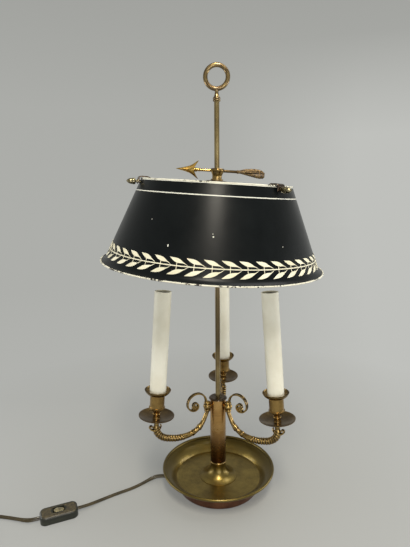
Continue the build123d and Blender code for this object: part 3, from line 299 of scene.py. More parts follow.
finishes = {
    # Spun brass dish: olive brown lacquer, rings from the spinning lathe, worn bright in places, and painted shade
    # darkening its upper wall and rim
    "dish_brass": turned_brass("brass_spun_dish", "#a48d4b", "#8a763e", "#6d5c31", (0.30, 0.40), 1.1, patch_mm=26,
        depth_mm=0.005, low=("#6c5c2e", 27, 17), coat=0.25),
    # Brass drum of the foot, reddish brown where the lacquer has gone
    "foot_brass": turned_brass("brass_spun_foot", "#8a5a3e", "#71462f", "#523225", (0.28, 0.42), 0.9),
    # Drawn brass tube of the column: golden at the top, nearly brown at its foot
    "column_brass": turned_brass("brass_drawn_column", "#cca466", "#b68d51", "#977040", (0.24, 0.34), 2.6,
        patch_mm=30, depth_mm=0.004, low=("#4a2f1c", 46, 120), coat=0.28),
    # Turned cap and ring and the shade's spider, darkened nearly to black in the grooves
    "dark_brass": turned_brass("brass_turned_dark", "#5e4c38", "#483828", "#30251b", (0.26, 0.42), 0.8),
    # Rod polished by the shade's sliding hub, with upright scratches, and a painted shadow darkening it under and
    # inside the shade
    "rod_brass": aged_brass("brass_drawn_rod", "#a8966a", "#8e7b50", "#6f5e3c", (0.26, 0.36), 40, (6, 6, 0.2), 0.8,
        depth_mm=0.002, painted_shadow_band=("#57492f", 200, 480, 40)),
    # Cast arms: golden on what stands out, with brown dirt and painted shade in the hollows
    "cast_brass": aged_brass("brass_cast_arms", "#b89a5a", "#967a45", "#6a5530", (0.22, 0.34), 9, grain_mm=0.9,
        depth_mm=0.006, dirt_and_shade="#362b15", coat=0.3),
    # Turned pans, dark brown with a worn edge
    "pan_brass": turned_brass("brass_turned_pan", "#7e6947", "#665337", "#4a3b26", (0.26, 0.40), 0.8, coat=0.15),
    # Turned cups, golden lacquer, darker towards the rim with painted shade
    "cup_brass": turned_brass("brass_turned_cup", "#ae8f54", "#917441", "#6a542d", (0.20, 0.32), 0.9,
        depth_mm=0.005, low=("#62512f", 185, 179), coat=0.2),
    # Hub and its ring nut, lacquered and handled
    "carrier_brass": aged_brass("brass_turned_hub", "#b4955a", "#8f733e", "#5e4c28", (0.16, 0.28), 7, depth_mm=0.003),
    # Arrow, polished
    "arrow_brass": aged_brass("brass_cast_arrow", "#dab866", "#b8944a", "#866a34", (0.18, 0.30), 6, depth_mm=0.003),
    # Zinc plated steel of the screws and nuts
    "zinc": plain_finish("zinc_plated_steel", "#a9a8a2", "#7d7c78", (0.30, 0.45), metallic=1),
    # Cast iron disc, rough from the sand mould
    "iron": plain_finish("cast_iron", "#3a3937", "#242322", (0.62, 0.80), grain_mm=1.2, depth_mm=0.12),
    # Pressed wool felt under the foot
    "felt": plain_finish("wool_felt", "#3d5a3c", "#2c4430", (0.92, 0.98), grain_mm=0.7, depth_mm=0.15, sheen=0.5),
    # Candle tubes: matt cream card, a little yellowed
    "sleeve": plain_finish("card_candle_tube", "#dedbcb", "#cfcab6", (0.52, 0.64), patch_mm=60, grain_mm=1.4,
        depth_mm=0.03),
    # Phenolic lampholder, black and faintly glossy
    "holder": plain_finish("phenolic_holder", "#2a2724", "#1b1917", (0.30, 0.42)),
    # PVC flex, dark brown with a faint gloss
    "flex": plain_finish("pvc_twin_flex", "#453a20", "#2f2712", (0.26, 0.36), patch_mm=30, coat=0.2),
    # Rubber relief, matt brown
    "relief": plain_finish("rubber_relief", "#3b2f22", "#2a2119", (0.5, 0.62)),
    # Rocker of the switch, glossy
    "rocker": plain_finish("moulded_rocker", "#8f8562", "#544c35", (0.20, 0.32), patch_mm=5, coat=0.5),
    # White ceramic terminal block
    "connector": plain_finish("glazed_ceramic", "#e4e1d8", "#d2cec2", (0.2, 0.3)),
    # Woven hook and loop band round the coil
    "tie": plain_finish("woven_band", "#26262a", "#17171a", (0.8, 0.92), depth_mm=0.1, sheen=0.3),
    # Moulded plug, the switch's brown
    "plug": plain_finish("moulded_plug", "#5a4c34", "#443a28", (0.34, 0.48)),
    # Nickel plated brass of the plug's pins
    "pins": plain_finish("nickel_plated_brass", "#c9c5ba", "#a8a398", (0.18, 0.3), metallic=1),
    "shade_paint": shade_enamel(),
    "switch": switch_casing(),
}
inside_cream = cream_paint("paint_cream_inside", "#e8e4d0", "#dad4bc")
rim_cream = cream_paint("paint_cream_rim", "#e2dfcd", "#cdc8b2", chipped=True)
leaf_cream = cream_paint("paint_cream_garland", "#e6e1c8", "#d3ccae")
# Feather of the arrow, brown and dull between its barbs
feather_finish = aged_brass("brass_cast_feather", "#877147", "#695436", "#413321", (0.32, 0.46), 4, grain_mm=0.7,
                            depth_mm=0.02)
# Acorn screws, which have lost their lacquer and gone grey-brown
acorn_finish = aged_brass("brass_turned_acorn", "#a59c80", "#827858", "#4a4430", (0.24, 0.34), 4, depth_mm=0.003)
# Finial ring, brown where the lacquer has gone
finial_finish = aged_brass("brass_cast_finial", "#a08856", "#7c6844", "#5c482e", (0.26, 0.36), 10, depth_mm=0.004)
# Lower half of the switch, nearly black
switch_base_finish = plain_finish("moulded_switch_base", "#26281d", "#181a12", (0.36, 0.50), coat=0.1)

own_finishes = {"acorn_screw_" + side: acorn_finish for side in ("left", "right", "back")}
own_finishes |= {"finial_ring": finial_finish, "switch_base": switch_base_finish}
for name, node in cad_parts.items():
    for holder in node.material_slots:
        holder.material = own_finishes.get(name, finishes[holder.material.name])


# Helpers for pieces

def deselect():
    bpy.ops.object.select_all(action="DESELECT")


def take(piece):
    """Selects this piece alone and makes it the active one."""
    deselect()
    piece.select_set(True)
    bpy.context.view_layer.objects.active = piece


def rounded(piece, angle):
    """Smooth shading except over edges sharper than the angle, in degrees."""
    take(piece)
    bpy.ops.object.shade_smooth_by_angle(angle=radians(angle))


def apply_modifiers(piece):
    take(piece)
    for modifier in list(piece.modifiers):
        bpy.ops.object.modifier_apply(modifier=modifier.name)


def edit_all(piece):
    """Opens a piece in edit mode with everything selected."""
    take(piece)
    bpy.ops.object.mode_set(mode="EDIT")
    bpy.ops.mesh.select_all(action="SELECT")


def close_seams(piece, gap=2e-6):
    """Merges points nearer than the gap, in metres, and turns all faces outwards."""
    edit_all(piece)
    bpy.ops.mesh.remove_doubles(threshold=gap)
    bpy.ops.mesh.normals_make_consistent(inside=False)
    bpy.ops.object.mode_set(mode="OBJECT")


def turned_piece(name, profile, steps, place=Matrix.Identity(4)):
    """Piece spun about Z from a line of (radius, height) points in millimetres."""
    bpy.ops.mesh.primitive_plane_add(size=MM)
    piece = bpy.context.object
    piece.name = name
    edit_all(piece)
    bpy.ops.mesh.merge(type="CENTER")
    bpy.ops.transform.translate(value=(profile[0][0] * MM, 0, profile[0][1] * MM))
    for before, after in zip(profile, profile[1:]):
        step = ((after[0] - before[0]) * MM, 0, (after[1] - before[1]) * MM)
        bpy.ops.mesh.extrude_region_move(TRANSFORM_OT_translate={"value": step})
    bpy.ops.mesh.select_all(action="SELECT")
    bpy.ops.mesh.spin(steps=steps, angle=TURN, center=(0, 0, 0), axis=(0, 0, 1))
    bpy.ops.object.mode_set(mode="OBJECT")
    close_seams(piece)
    piece.data.transform(place)
    return piece


def arc(centre, radius, start, end, steps):
    """Points of an arc, angles in degrees."""
    angles = [radians(start + (end - start) * step / steps) for step in range(steps + 1)]
    return [(centre[0] + radius * cos(angle), centre[1] + radius * sin(angle)) for angle in angles]


def shaped_grid(name, rows):
    """Sheet of quads from rows of points in millimetres, every row of the same length."""
    across = len(rows[0]) - 1
    along = len(rows) - 1
    bpy.ops.mesh.primitive_grid_add(x_subdivisions=across, y_subdivisions=along, size=2)
    sheet = bpy.context.object
    sheet.name = name
    for vertex in sheet.data.vertices:
        column = round((vertex.co.x + 1) / 2 * across)
        row = round((vertex.co.y + 1) / 2 * along)
        vertex.co = Vector(rows[row][column]) * MM
    return sheet


def joined(name, pieces):
    """One piece made of several."""
    deselect()
    for piece in pieces:
        piece.select_set(True)
    bpy.context.view_layer.objects.active = pieces[0]
    bpy.ops.object.join()
    pieces[0].name = name
    return pieces[0]


# Dirt and painted shade on a flat place, and the change for each unit of bend
flat_dirt_and_shade = 0.45
dirt_and_shade_per_bend = 5.0


def mark_hollows(piece):
    """Gives each vertex 1 in a hollow and 0 on a crest, as the attribute that the casting's dirt and painted shade
    follow.
    """
    mesh = piece.data
    near = [[] for _ in mesh.vertices]
    for edge in mesh.edges:
        one, two = edge.vertices
        near[one].append(two)
        near[two].append(one)
    bend = []
    for vertex, others in zip(mesh.vertices, near):
        steps = [mesh.vertices[other].co - vertex.co for other in others]
        run = sum(step.length for step in steps)
        bend.append(vertex.normal.dot(sum(steps, Vector())) / max(run, 1e-9))
    for _ in range(2):
        bend = [(value + sum(bend[other] for other in others)) / (len(others) + 1)
                for value, others in zip(bend, near)]
    layer = mesh.attributes.new("hollow", "FLOAT", "POINT")
    for place, value in enumerate(bend):
        layer.data[place].value = min(max(flat_dirt_and_shade + dirt_and_shade_per_bend * value, 0), 1)


def dress(piece, finish, slot, body, *nodes):
    """Gives a piece its finish and body, and lets it stand for its CAD nodes; its slot argument is not used."""
    if finish is not None:
        piece.data.materials.clear()
        piece.data.materials.append(finish)
    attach(piece, body)
    if nodes:
        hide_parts(*nodes)
    return piece


def steps_along(line):
    """Each point of a line, with the line's direction there and the distance so far."""
    travelled = 0.0
    for place, point in enumerate(line):
        before = line[max(place - 1, 0)]
        after = line[min(place + 1, len(line) - 1)]
        travelled += (point - before).length
        yield point, (after - before).normalized(), travelled


# Rocker of the switch: an oval knob with a shallow saddle, tipped to one stop

knob_half_length = 7.6
knob_half_width = 5.1


def rocker_knob():
    profile = [(0, -1.6), (3.2, -1.6), (4.7, 0.4), (knob_half_width, 2.2)]
    profile += arc((knob_half_width - 1.3, 2.9), 1.3, 0, 70, 5) + [(2.6, 4.4), (0, 4.5)]
    knob = turned_piece("switch_knob", profile, 64)
    for vertex in knob.data.vertices:
        if vertex.co.z > 1.0 * MM:
            vertex.co.z += 0.6 * abs(vertex.co.x) / knob_half_width - 0.5 * MM
    place = shift(*switch_middle) @ turn_by(switch_heading, "Z")
    place = place @ shift(0, 0, rocker_pivot_height) @ turn_by(rocker_lean, "Y")
    knob.data.transform(place @ Matrix.Diagonal((knob_half_length / knob_half_width, 1, 1, 1)))
    rounded(knob, 50)
    return dress(knob, finishes["rocker"], "rocker", "rocker", "switch_rocker")


switch_knob = rocker_knob()


# Cords: a flat twin flex from the foot to the switch, and on to the coil and the plug

flex_thickness = 2.9
coil_middle = (-375, -135)
coil_outer_radius = 44.95
coil_pitch = 6.25
coil_height = 3.6
coil_turn_count = 7
turns_per_layer = 3.25
climb_turns = 0.5
turn_points = 12


def coil_place(turn):
    """Radius and height of the coil's centre line after a number of turns."""
    inner = coil_outer_radius - coil_pitch * turns_per_layer
    if turn <= turns_per_layer:
        return coil_outer_radius - coil_pitch * turn, coil_height
    if turn >= turns_per_layer + climb_turns:
        return inner + coil_pitch * (turn - turns_per_layer - climb_turns), coil_height + coil_pitch
    share = (turn - turns_per_layer) / climb_turns
    dip = coil_pitch / 4 * (1 - abs(2 * share - 1))
    return inner - dip, coil_height + coil_pitch * (1 - cos(pi * share)) / 2


def coil_turns():
    """Control points of the coil, set out a little so that the spline keeps the coil's radius."""
    swell = 8 / (6 + 2 * cos(TURN / turn_points))
    points = []
    for count in range(coil_turn_count * turn_points + 1):
        turn = count / turn_points
        radius, height = coil_place(turn)
        angle = pi / 2 + TURN * turn
        reach = radius * swell
        points.append((coil_middle[0] + reach * cos(angle), coil_middle[1] + reach * sin(angle), height))
    return points


lead_route = [
    (-88.61, 6.20, 6.5), (-98.59, 6.89, 6.5), (-109.8, 4.4, 4.2), (-125.5, -8, 1.5), (-140.8, -21, 1.5),
    (-160.3, -32.6, 1.5), (-182, -48, 1.5), (-198.39, -67.66, 6.5), (-211.12, -73.48, 6.5),
]
tail_route = [
    (-259.68, -95.71, 6.5), (-266.95, -99.05, 6.5), (-276.6, -99.6, 5.4), (-290.2, -96, 4.2),
    (-311, -90.8, 3.2), (-337, -87.4, 3), (-361, -90.05, 3.6),
]
plug_route = [(-387, -90.05, 9.85), (-401.5, -83.29, 6.85), (-412.38, -78.22, 6.85)]


def line_points(curve):
    """Points that a curve is drawn with."""
    holder = bpy.data.objects.new("line", curve)
    points = [vertex.co.copy() for vertex in bpy.data.meshes.new_from_object(holder).vertices]
    bpy.data.objects.remove(holder)
    return points


def cord_line(route, per_run):
    """Points of the route's NURBS line, in metres."""
    curve = bpy.data.curves.new("route", "CURVE")
    curve.dimensions = "3D"
    curve.resolution_u = per_run
    spline = curve.splines.new("NURBS")
    spline.points.add(len(route) - 1)
    for point, place in zip(spline.points, route):
        point.co = (*(value * MM for value in place), 1)
    spline.order_u = 3
    spline.use_endpoint_u = True
    return line_points(curve)


def flex_section():
    """Figure-eight outline of the twin flex, as (across, up) in metres."""
    lobe = flex_thickness / 2
    right = arc((lobe, 0), lobe, -122, 122, 8)
    left = [(-across, -up) for across, up in right]
    waist = (0, 0.62 * lobe)
    outline = right + [waist] + left + [(-waist[0], -waist[1])]
    return [(across * MM, up * MM) for across, up in outline]


def flex_along(name, line, twist):
    """Twin flex along a line; twist gives the section's turn, in degrees, at a distance in millimetres."""
    section = flex_section()
    count = len(section)
    verts, faces = [], []
    for point, along, travelled in steps_along(line):
        side = along.cross(Vector((0, 0, 1))).normalized()
        up = side.cross(along)
        angle = radians(twist(travelled / MM))
        across_axis = side * cos(angle) + up * sin(angle)
        up_axis = up * cos(angle) - side * sin(angle)
        verts += [point + across_axis * across + up_axis * rise for across, rise in section]
    for ring in range(len(line) - 1):
        for corner in range(count):
            first = ring * count + corner
            second = ring * count + (corner + 1) % count
            faces.append((first, second, second + count, first + count))
    faces += [tuple(reversed(range(count))), tuple(range(len(verts) - count, len(verts)))]
    mesh = bpy.data.meshes.new(name)
    mesh.from_pydata(verts, [], faces)
    piece = bpy.data.objects.new(name, mesh)
    bpy.context.collection.objects.link(piece)
    close_seams(piece)
    rounded(piece, 50)
    return piece


def eased(value, low, high):
    """Smooth step from 0 at low to 1 at high."""
    share = min(max((value - low) / (high - low), 0), 1)
    return share * share * (3 - 2 * share)


def lead_twist(far):
    """From nearly on edge at the foot to flat."""
    return 70 * (1 - eased(far, 8, 34))


def tail_twist(far):
    """On edge at the switch, then flat, and on edge in the coil."""
    return 86 * (1 - eased(far, 6, 32)) + 90 * eased(far, 60, 110)


lead_line = cord_line(lead_route, 14)
lead_flex = flex_along("lead_flex", lead_line, lead_twist)
dress(lead_flex, finishes["flex"], "flex", "root", "cord_lead")

tail_line = cord_line(tail_route + coil_turns() + plug_route, 8)
tail_flex = flex_along("tail_flex", tail_line, tail_twist)
dress(tail_flex, finishes["flex"], "flex", "root", "cord_tail", "cord_coil")


# Shade: sheet-metal cone with wired rims and a flared lip

shade_top_radius = 109.75
shade_slope = 0.415
shade_height = 119.4
shade_wall = 0.76
lip_start = -shade_height + 8.8
wire_radius = 1.1
shade_steps = 168
cone_stations = range(-6, -110, -8)
lip_outer = shade_top_radius - shade_slope * lip_start
hem_radius = lip_outer + 9.6 - wire_radius
lip_curve = [(lip_outer, lip_start), (lip_outer + 1.7, lip_start - 3), (lip_outer + 4, lip_start - 5.1),
             (lip_outer + 6.4, lip_start - 6.5), (hem_radius, -shade_height + wire_radius + 0.4)]


def shade_sheet():
    """Cone, lip and the two rolled rims, with enamel outside and cream inside."""
    outside = [(shade_top_radius, 0.3)]
    outside += [(shade_top_radius - shade_slope * station, station) for station in cone_stations]
    outside += lip_curve
    inside = [(across - shade_wall, height) for across, height in reversed(outside)]
    sheet = turned_piece("shade_sheet", outside + inside + [outside[0]], shade_steps)
    sheet.data.materials.append(finishes["shade_paint"])
    sheet.data.materials.append(inside_cream)
    for face in sheet.data.polygons:
        middle = face.center
        radial = Vector((middle.x, middle.y, 0)).normalized()
        face.material_index = 0 if face.normal.dot(radial) > 0.05 else 1
    rims = []
    for across, height in ((shade_top_radius - shade_wall / 2, 0), (hem_radius, -shade_height + wire_radius)):
        rims.append(turned_piece("rim", arc((across, height), wire_radius, 0, 360, 12), shade_steps))
    rim = joined("rims", rims)
    rim.data.materials.append(rim_cream)
    shade = joined("painted_shade", [sheet, rim])
    shade.data.transform(shade_frame)
    rounded(shade, 40)
    return shade


painted_shade = shade_sheet()
dress(painted_shade, None, "shade_paint", "shade_assembly", "shade")


# Scroll arms: cast brass, drawn in the plane of reach and height in millimetres and turned to their angles

arm_turns = {"back": 84.6, "left": 207.2, "right": 327.2}
knot_reach = 18.8
knot_level = 138.5
candle_reach = 103.9
arm_sag = 41.0
candle_lean = 4.7
bar_step = 0.5
bead_slant = 22.0
bead_count = 13
bead_reach = 5.2
bar_corners = 32
sheath_length = 10.2
sheath_places = (0.195, 0.292)
arm_shape = [
    (0, 0.06), (0, 0.14), (0.03, 0.32), (0.135, 0.70), (0.30, 0.93), (0.50, 1), (0.72, 0.945),
    (0.925, 0.75), (1.005, 0.47), (1, 0.2), (1, 0.05),
]


def even_line(points, step):
    """Points every step along a smooth line through the given points of the arm's plane."""
    curve = bpy.data.curves.new("line", "CURVE")
    curve.dimensions = "3D"
    curve.resolution_u = 24
    spline = curve.splines.new("BEZIER")
    spline.bezier_points.add(len(points) - 1)
    for knot, (reach, height) in zip(spline.bezier_points, points):
        knot.co = (reach, height, 0)
        knot.handle_left_type = knot.handle_right_type = "AUTO"
    rough = [point.to_2d() for point in line_points(curve)]
    even = [rough[0]]
    spare = 0.0
    for before, after in zip(rough, rough[1:]):
        run = (after - before).length
        while spare + run >= step:
            before = before.lerp(after, (step - spare) / run)
            run = (after - before).length
            spare = 0.0
            even.append(before)
        spare += run
    return even


def swept(name, line, outline_at):
    """Solid swept along a line of the arm's plane, its outline given as (out, across) at a distance."""
    rows = []
    for point, along, travelled in steps_along(line):
        outline = outline_at(travelled)
        rows.append([(point.x - along.y * out, across, point.y + along.x * out)
                     for out, across in outline + outline[:1]])
    ends = [[(point.x, 0, point.y)] * len(rows[0]) for point in (line[0], line[-1])]
    piece = shaped_grid(name, ends[:1] + rows + ends[1:])
    close_seams(piece)
    return piece


def between(stations, place):
    """Value at a place, straight between the (place, value) stations."""
    for (start, low), (end, high) in zip(stations, stations[1:]):
        if place <= end:
            share = max(place - start, 0) / (end - start)
            return low + (high - low) * share
    return stations[-1][1]


def scroll_bar():
    """Main scroll: a smooth stem, two scalloped leaf sheaths, then slanting gadroons that grow."""
    points = [(knot_reach + across * (candle_reach - knot_reach), knot_level - down * arm_sag)
              for across, down in arm_shape]
    line = even_line(points, bar_step)
    length = bar_step * len(line)
    stem = [(0, 3.4), (0.12, 3.3), (0.3, 3.9), (0.47, 4.4), (0.49, 4.6), (0.90, 4.6), (0.93, 3.6), (1, 3.9)]
    beads_from, beads_to = 0.475 * length, 0.905 * length
    pitch = (beads_to - beads_from) / bead_count
    angles = [TURN * corner / bar_corners for corner in range(bar_corners)]

    def outline_at(travelled):
        outline = []
        for angle in angles:
            radius = between(stem, travelled / length)
            for sheath in sheath_places:
                past = travelled - sheath * length
                if 0.0 < past < sheath_length - 2.6 * abs(sin(2.5 * angle)):
                    vein = 0.22 * abs(sin(5 * angle))
                    radius = max(radius, 3.2 + 2.0 * (past / sheath_length) ** 0.8 - vein)
            along = travelled - tan(radians(bead_slant)) * bead_reach * cos(angle)
            if beads_from < along < beads_to:
                grow = 0.88 + 0.12 * (along - beads_from) / (beads_to - beads_from)
                swell = abs(sin(pi * (along - beads_from) / pitch)) ** 0.7
                radius = grow * (4.5 + 1.25 * swell)
            outline.append((radius * cos(angle), radius * sin(angle)))
        return outline

    return swept("scroll_bar", line, outline_at), line


def scroll_arcs(start, first_angle, arcs):
    """Line of tangent arcs, turning clockwise, from (radius, degrees) pairs."""
    line = [start]
    angle = first_angle
    for radius, sweep in arcs:
        centre = line[-1] - radius * Vector((cos(radians(angle)), sin(radians(angle))))
        steps = max(round(radius * radians(sweep) / 0.7), 4)
        for step in range(1, steps + 1):
            turned_to = radians(angle - sweep * step / steps)
            line.append(centre + radius * Vector((cos(turned_to), sin(turned_to))))
        angle -= sweep
    return line


def strap_outline(width, thickness):
    """Section of a strap with a raised rib along each edge, as (out, across)."""
    half, edge = width / 2, thickness / 2
    side = [(edge * 0.75, -half), (edge, -half * 0.8), (edge * 0.9, -half * 0.6), (edge * 0.35, -half * 0.42)]
    top = side + [(out, -across) for out, across in reversed(side)]
    return top + [(-out, -across) for out, across in top]


def volute():
    """Upper C scroll: a ribbed strap that winds up into a snail round a button."""
    start = Vector((knot_reach + 2.4, knot_level + 3.5))
    level = Vector((start.x, knot_level + 9))
    arcs = [(15.8, 180), (11.06, 90), (6.79, 90), (5, 90), (3.9, 90), (3, 80)]
    line = [start, start.lerp(level, 0.5)] + scroll_arcs(level, 180, arcs)

    def outline_at(travelled):
        width = between([(0, 4.6), (12, 5.4), (60, 5.6), (80, 6.4), (110, 5)], travelled)
        thickness = between([(0, 3), (14, 2.5), (60, 2.3), (84, 2.6), (110, 1.8)], travelled)
        return strap_outline(width, thickness)

    strap = swept("volute", line, outline_at)
    eye = line[-1]
    middle = shift(eye.x - 0.6, 0, eye.y - 1.2) @ turn_by(90, "X")
    dome = [(0, 3.3), (0.9, 3.1), (1.6, 2.5), (2, 2.1), (4.6, 2.1)]
    button = dome + [(across, -height) for across, height in reversed(dome)]
    return [strap, turned_piece("button", button, 32, middle)]


def arm_casting():
    """Whole arm in its own plane: knot, scroll, volute, leaf, curl, flower under the pan and studs."""
    bar, line = scroll_bar()
    knot = [
        (0, -9.4), (2.6, -9.2), (3.6, -8), (4.9, -7.2), (5.3, -5.6), (4.9, -4.2), (4.3, -3.7), (4.9, -3.2),
        (6.1, -2.2), (6.5, 0), (6.5, 1.6), (6, 3.4), (5, 4.4), (4.5, 4.8), (5.1, 5.4), (5.4, 6.4),
        (5, 7.6), (3.4, 8.6), (0, 9),
    ]
    pieces = [bar, turned_piece("knot", knot, 24, shift(knot_reach, 0, knot_level))]
    pieces += volute()
    spigot = shift(0, 0, knot_level) @ turn_by(90, "Y")
    pieces.append(turned_piece("spigot", [(0, 6.9), (3, 6.9), (3, 18), (0, 18)], 24, spigot))

    # Small leaf inside the bend, its tip rolled over
    root = line[round(0.85 * len(line))]
    path = [(-1, 0), (-4.6, 3.6), (-6.6, 7.2), (-6.4, 9.6), (-4.6, 9.4)]
    leaf_line = even_line([(root.x + out, root.y + rise) for out, rise in path], bar_step)
    wide = [(0, 2.4), (5, 2.6), (9, 2.2), (13, 1.2)]
    pieces.append(swept("leaf", leaf_line, lambda far: [
        (0.85 * cos(TURN * corner / 12), between(wide, far) * sin(TURN * corner / 12)) for corner in range(12)
    ]))

    # Curl outside the bend
    root = line[round(0.885 * len(line))]
    path = [(0.6, -2.6), (4.6, -1), (8.4, 1.2), (10, 4), (8.4, 6.2), (5.8, 5.2), (6, 3.2)]
    curl = even_line([(root.x + out, root.y + rise) for out, rise in path], 0.6)
    pieces.append(swept("curl", curl, lambda far: strap_outline(5, between([(0, 3.2), (8, 2.2), (22, 1.7)], far))))

    # Flower that opens under the pan, and the stud through it
    seat = shift(candle_reach, 0, knot_level - 0.01 * arm_sag) @ turn_by(-candle_lean, "Y")
    flower = [Vector((0, height)) for height in (-6.4, -5.6, -4.8, -4, -3.2, -2.4, -1.6, -0.9, -0.3, 0)]
    opening = [(0, 2.9), (1.6, 3.3), (3.2, 4.1), (4.8, 5.5), (5.6, 6.3), (6.4, 6.1)]

    def petals(travelled):
        radius = between(opening, travelled)
        angles = [TURN * corner / 48 for corner in range(48)]
        sizes = [radius * (0.94 + 0.06 * abs(cos(4 * angle))) for angle in angles]
        return [(size * cos(angle), size * sin(angle)) for size, angle in zip(sizes, angles)]

    cup = swept("flower", flower, petals)
    cup.data.transform(seat)
    stud = turned_piece("stud", [(0, -1), (3, -1), (3, 24), (0, 24)], 24, seat)
    casting = joined("scroll_arm", pieces + [cup, stud])
    rounded(casting, 42)
    mark_hollows(casting)
    return casting


arm_pattern = arm_casting()
for side, turn in arm_turns.items():
    casting = arm_pattern.copy()
    casting.data = arm_pattern.data.copy()
    casting.name = "scroll_arm_" + side
    bpy.context.collection.objects.link(casting)
    casting.data.transform(turn_by(turn, "Z"))
    dress(casting, finishes["cast_brass"], "cast_brass", "root", "arm_" + side)
bpy.data.objects.remove(arm_pattern)


# Arrow: a bladed head on its turned shaft, and the feather on the other side of the hub

arrow_place = shade_frame @ shift(0, 0, 17.4)
vane_start = 30.0
barb_pitch = 2.1


def arrow_head():
    """Ridged blade with two swept barbs; one quarter is shaped and then mirrored."""
    outer = [(-60.6, 0.25), (-54, 1.6), (-47, 3.3), (-40.6, 5.3), (-37, 7.2), (-33.8, 9.4), (-31.2, 11.4),
             (-29.2, 12.8), (-28, 13.2)]
    inner = [(-60.6, 0), (-54.5, 0), (-48, 0), (-42, 0), (-38, 0), (-34.2, 0), (-33, 4), (-31, 8.2), (-28.3, 12.2)]
    ridge = [0.3, 1.3, 1.9, 2.3, 2.6, 2.6, 0, 0, 0]
    belly = [0.2, 0.7, 0.95, 1.1, 1.3, 1.4, 1, 0.6, 0.25]
    rows = []
    for share in (0, 0.28, 0.62, 1):
        row = []
        for (x_out, z_out), (x_in, z_in), high, mid in zip(outer, inner, ridge, belly):
            thick = {0: 0, 0.28: 0.75 * mid, 0.62: mid + 0.2 * high, 1: high}[share]
            row.append((x_out + (x_in - x_out) * share, -thick, z_out + (z_in - z_out) * share))
        rows.append(row)
    blade = shaped_grid("blade", rows)
    mirror = blade.modifiers.new("halves", "MIRROR")
    mirror.use_axis = (False, True, True)
    mirror.merge_threshold = 1e-5
    apply_modifiers(blade)
    close_seams(blade, 1e-5)
    shaft = [(0, 4.3), (2, 4.3), (2, 25.6), (2.5, 26.2), (2.6, 27), (2.1, 27.6), (2.1, 29.4), (2.9, 30.1),
             (3.1, 31.4), (2.9, 32.6), (2.3, 33.4), (2.4, 35), (0, 36.2)]
    stem = turned_piece("shaft", shaft, 24, turn_by(-90, "Y"))
    arrow = joined("arrow_head", [blade, stem])
    arrow.data.transform(arrow_place)
    rounded(arrow, 30)
    return arrow


def feather_vane(name, top, low, thickness, ragged):
    """Vane with slanting barbs and a torn end, swept along X between its top and bottom edges."""
    line = [Vector((vane_start + 0.4 * step, 0)) for step in range(98)]

    def outline_at(travelled):
        far = vane_start + travelled
        high, bottom = between(top, far), between(low, far)
        middle, half = (high + bottom) / 2, (high - bottom) / 2
        outline = []
        for corner in range(36):
            angle = TURN * corner / 36
            rise = middle + half * cos(angle)
            barbs = sin(TURN * (far - 0.9 * abs(rise)) / barb_pitch)
            edge = 1 + ragged * barbs * abs(cos(angle)) ** 3
            depth = thickness * (1 + 0.24 * barbs)
            outline.append((middle + half * cos(angle) * edge, depth * sin(angle)))
        return outline

    return swept(name, line, outline_at)


def feather():
    """Fletching: an upright and a level vane on the quill."""
    top = [(30, 1.6), (33.6, 3), (41.8, 5.1), (53.5, 5.7), (61.6, 5), (65.6, 3.6), (67.6, 1.4), (69, -0.6)]
    low = [(30, -1.6), (33.6, -2.3), (41.8, -4.1), (53.5, -6.6), (61.6, -8), (66.6, -7.6), (69, -5.6)]
    upright = feather_vane("upright_vane", top, low, 1.15, 0.06)
    level_edge = [(30, 1.2), (42, 3.4), (57.6, 3.9), (64, 3), (69, 1.6)]
    level = feather_vane("level_vane", level_edge, [(far, -rise) for far, rise in level_edge], 1, 0.05)
    level.data.transform(turn_by(90, "X"))
    shaft = [(0, 4.6), (2, 4.6), (2, 28), (2.6, 28.8), (2.7, 30), (2.3, 31), (2.2, 46), (1.2, 66), (0, 66.8)]
    quill = turned_piece("quill", shaft, 24, turn_by(90, "Y"))
    tail = joined("arrow_feather", [upright, level, quill])
    tail.data.transform(arrow_place)
    rounded(tail, 50)
    return tail


# Spider: three straps that dip inside the shade, rise over its rim and turn down as tabs

strap_turns = (197, 317, 77)
strap_bends = [
    (11, 2.4), (15, 2.2), (19, 0.4), (24, -1.9), (34, -2.2), (60, -2.2), (84, -2.2), (92, -1.8), (98, 0.8),
    (102.5, 2.5), (107, 2.6), (111.5, 2.6), (113.9, 1.4), (114.4, -1.2), (114.4, -4.4), (114.4, -6.6),
]


def spider():
    """Ring and three bent straps, in the shade's frame."""
    ring = [(7.6, 1.4), (13, 1.4), (13, 3.2), (12.8, 3.4), (7.6, 3.4), (7.6, 1.4)]
    pieces = [turned_piece("ring", ring, 64)]
    line = even_line(strap_bends, 1)
    width = [(0, 10), (88, 10), (94, 14.6), (120, 15)]

    def outline_at(travelled):
        half = between(width, travelled) / 2
        return [(0.8, -half + 0.4), (0.8, half - 0.4), (0.4, half), (-0.4, half), (-0.8, half - 0.4),
                (-0.8, -half + 0.4), (-0.4, -half), (0.4, -half)]

    for turn in strap_turns:
        strap = swept("strap", line, outline_at)
        strap.data.transform(turn_by(turn, "Z"))
        pieces.append(strap)
    whole = joined("shade_spider_straps", pieces)
    whole.data.transform(shade_frame)
    rounded(whole, 35)
    return whole


dress(spider(), finishes["dark_brass"], "carrier_brass", "shade_assembly", "shade_spider")
dress(arrow_head(), finishes["arrow_brass"], "arrow_brass", "arrow", "arrow_screw")
dress(feather(), feather_finish, "arrow_brass", "carrier", "arrow_tail")


# Garland of laurel leaves, painted thickly on the shade's lower band

